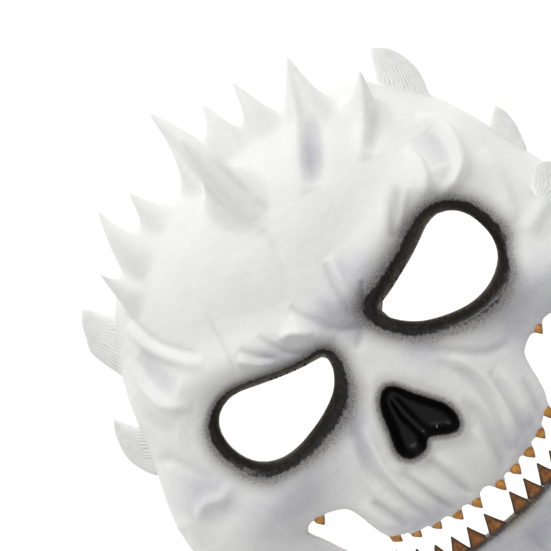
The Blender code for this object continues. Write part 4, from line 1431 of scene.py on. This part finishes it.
def plant_teeth(piece, rows, settings, shape_mesh, mat, seed):
    """Stand a tooth on each row's seat and keep them all as one piece."""
    nodes = ["tooth_" + row[0] for row in rows]
    places, turns, reaches = [], [], []
    for row, name in zip(rows, nodes):
        gum, heading, reach = tooth_frame(row)
        low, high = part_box(name)
        front = Vector((0, 0, 1))
        heading = Vector((*heading, 0))
        turn = Matrix((front.cross(heading), front, heading)).transposed()
        places.append((gum[0] + BRIDGE_X, gum[1] + BRIDGE_Y, (low.z + high.z) / 2))
        turns.append(tuple(turn.to_euler()))
        reaches.append(reach)
    points = bpy.data.meshes.new(piece + "_seats")
    points.from_pydata(places, [], [])
    points.attributes.new("turn", "FLOAT_VECTOR", "POINT").data.foreach_set(
        "vector", np.array(turns, np.float32).ravel()
    )
    store(points, "reach", reaches)
    shape = link_object(piece + "_shape", shape_mesh)
    sizes = {"Width": settings.width, "Depth": settings.depth, "Seed": seed}
    teeth = plain_result(piece, points, tooth_tree(piece + "_tree", shape, mat), sizes)
    bpy.data.objects.remove(shape, do_unlink=True)
    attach(teeth, "root")
    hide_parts(*nodes)


class SKULLMASK_OT_upper_teeth(bpy.types.Operator):
    """Build the amber teeth of the upper gum and the mouth's corners"""

    bl_idname = "skull_mask.upper_teeth"
    bl_label = "Upper Teeth"

    def execute(self, context):
        settings = settings_of("upper_teeth")
        mat = tooth_paint("stained_amber_latex", settings)
        shape = tooth_shape("amber_tooth", UPPER_PROFILE, UPPER_SIDES)
        plant_teeth("amber_teeth", UPPER_TEETH, settings, shape, mat, UPPER_SEED)
        return {"FINISHED"}


class SKULLMASK_OT_lower_teeth(bpy.types.Operator):
    """Build the brown pointed teeth of the lower jaw"""

    bl_idname = "skull_mask.lower_teeth"
    bl_label = "Lower Teeth"

    def execute(self, context):
        settings = settings_of("lower_teeth")
        mat = tooth_paint("stained_brown_latex", settings)
        shape = tooth_shape("brown_tooth", LOWER_PROFILE, LOWER_SIDES)
        plant_teeth("brown_teeth", LOWER_TEETH, settings, shape, mat, LOWER_SEED)
        return {"FINISHED"}


# The camera looks down on the mask, 5 degrees off its face, turned so that the crown is at
# the picture's upper left
CAMERA_TILT = math.radians(5)
CAMERA_DISTANCE = 1.15
CAMERA_AIM = (-6.8 * MM, 41.2 * MM, 95 * MM)
CAMERA_RIGHT = (0.749, -0.663)
CAMERA_UP = (0.663, 0.749)
CAMERA_LENS = 187.8

# The lights: place and width of each, and the point that both face
KEY_PLACE = (0.10, 0.88, 0.74)
KEY_WIDTH = 0.34
FILL_PLACE = (0.5, -0.7, 0.9)
FILL_WIDTH = 0.8
LIGHT_AIM = (0, 0, 0.06)

FLOOR_CELLS = 8
FLOOR_DROP = 0.05 * MM
FLOOR_BASE = 0.3


def area_light(name, power, place, size):
    light = bpy.data.lights.new(name, "AREA")
    light.energy = power
    light.shape = "DISK"
    light.size = size
    lamp = link_object(name, light)
    lamp.location = place
    lamp.rotation_euler = (Vector(LIGHT_AIM) - Vector(place)).to_track_quat("-Z", "Y").to_euler()


def floor_paper():
    """Seamless white studio paper, lit until it is almost pure white."""
    mat, tree, fields = new_material("white_studio_paper")
    work_out(tree, fields, (
        ("fibre", "NOISE", "place", 1 / (2 * MM), 2.0, 0.5),
        ("rough", "RAMP", "fibre", 0.2, 0.8, 0.86, 0.94),
    ))
    white = settings_of("stage").floor_white
    shader = node(tree, "ShaderNodeBsdfPrincipled", {
        "Base Color": (*(part * FLOOR_BASE for part in white), 1.0),
        "Emission Color": (*white, 1.0), "Emission Strength": 1.0,
        "Roughness": fields["rough"],
    })
    node(tree, "ShaderNodeOutputMaterial", {"Surface": shader})
    return mat


class SKULLMASK_OT_stage(bpy.types.Operator):
    """Set the pale floor, the soft lights and the camera"""

    bl_idname = "skull_mask.stage"
    bl_label = "Stage"

    def execute(self, context):
        settings = settings_of("stage")
        scene = context.scene
        bm = bmesh.new()
        bmesh.ops.create_grid(bm, x_segments=FLOOR_CELLS, y_segments=FLOOR_CELLS,
                              size=settings.floor_size / 2)
        bmesh.ops.translate(bm, verts=bm.verts, vec=(0, 0, -FLOOR_DROP))
        mesh = bpy.data.meshes.new("floor")
        bm.to_mesh(mesh)
        bm.free()
        mesh.materials.append(floor_paper())
        floor = link_object("floor", mesh)
        world = bpy.data.worlds.new("studio")
        world.use_nodes = True
        background = world.node_tree.nodes["Background"]
        background.inputs["Color"].default_value = (1, 1, 1, 1)
        background.inputs["Strength"].default_value = settings.ambient
        scene.world = world
        area_light("key", settings.key_power, KEY_PLACE, KEY_WIDTH)
        area_light("fill", settings.fill_power, FILL_PLACE, FILL_WIDTH)
        right = Vector((math.cos(CAMERA_TILT), 0, -math.sin(CAMERA_TILT)))
        up = Vector((0, 1, 0))
        away = Vector((math.sin(CAMERA_TILT), 0, math.cos(CAMERA_TILT)))
        picture_right = right * CAMERA_RIGHT[0] + up * CAMERA_RIGHT[1]
        picture_up = right * CAMERA_UP[0] + up * CAMERA_UP[1]
        aim = Vector(CAMERA_AIM) + Vector((BRIDGE_X, BRIDGE_Y, 0))
        data = bpy.data.cameras.new("camera")
        data.sensor_fit = "HORIZONTAL"
        data.sensor_width = 36.0
        data.lens = CAMERA_LENS
        data.clip_start = 0.01
        camera = link_object("camera", data)
        turn = Matrix((picture_right, picture_up, away)).transposed().to_4x4()
        camera.matrix_world = Matrix.Translation(aim + away * CAMERA_DISTANCE) @ turn
        scene.camera = camera
        scene.view_settings.view_transform = "Standard"
        return {"FINISHED"}


class SKULLMASK_PT_panel(bpy.types.Panel):
    """Lists the mask's pieces and their sizes"""

    bl_idname = "SKULLMASK_PT_panel"
    bl_label = "Skull Mask"
    bl_space_type = "VIEW_3D"
    bl_region_type = "UI"
    bl_category = "Skull Mask"

    def draw(self, context):
        for piece, (group, operator) in PIECES.items():
            box = self.layout.box()
            box.operator(operator.bl_idname)
            for name in group.__annotations__:
                box.prop(settings_of(piece), name)


# Each piece or group of pieces, with its settings and its operator
PIECES = {
    "skin": (SkinSettings, SKULLMASK_OT_skin),
    "fins": (FinSettings, SKULLMASK_OT_fins),
    "upper_teeth": (UpperTeethSettings, SKULLMASK_OT_upper_teeth),
    "lower_teeth": (LowerTeethSettings, SKULLMASK_OT_lower_teeth),
    "stage": (StageSettings, SKULLMASK_OT_stage),
}
CLASSES = [item for pair in PIECES.values() for item in pair] + [SKULLMASK_PT_panel]


def register():
    for item in CLASSES:
        bpy.utils.register_class(item)
    for piece, (group, operator) in PIECES.items():
        setattr(bpy.types.Scene, "skull_mask_" + piece, bpy.props.PointerProperty(type=group))


def unregister():
    for piece in PIECES:
        delattr(bpy.types.Scene, "skull_mask_" + piece)
    for item in reversed(CLASSES):
        bpy.utils.unregister_class(item)


def main():
    register()
    bpy.ops.skull_mask.stage()
    bpy.ops.skull_mask.skin()
    bpy.ops.skull_mask.fins()
    bpy.ops.skull_mask.upper_teeth()
    bpy.ops.skull_mask.lower_teeth()


if __name__ == "__main__":
    main()
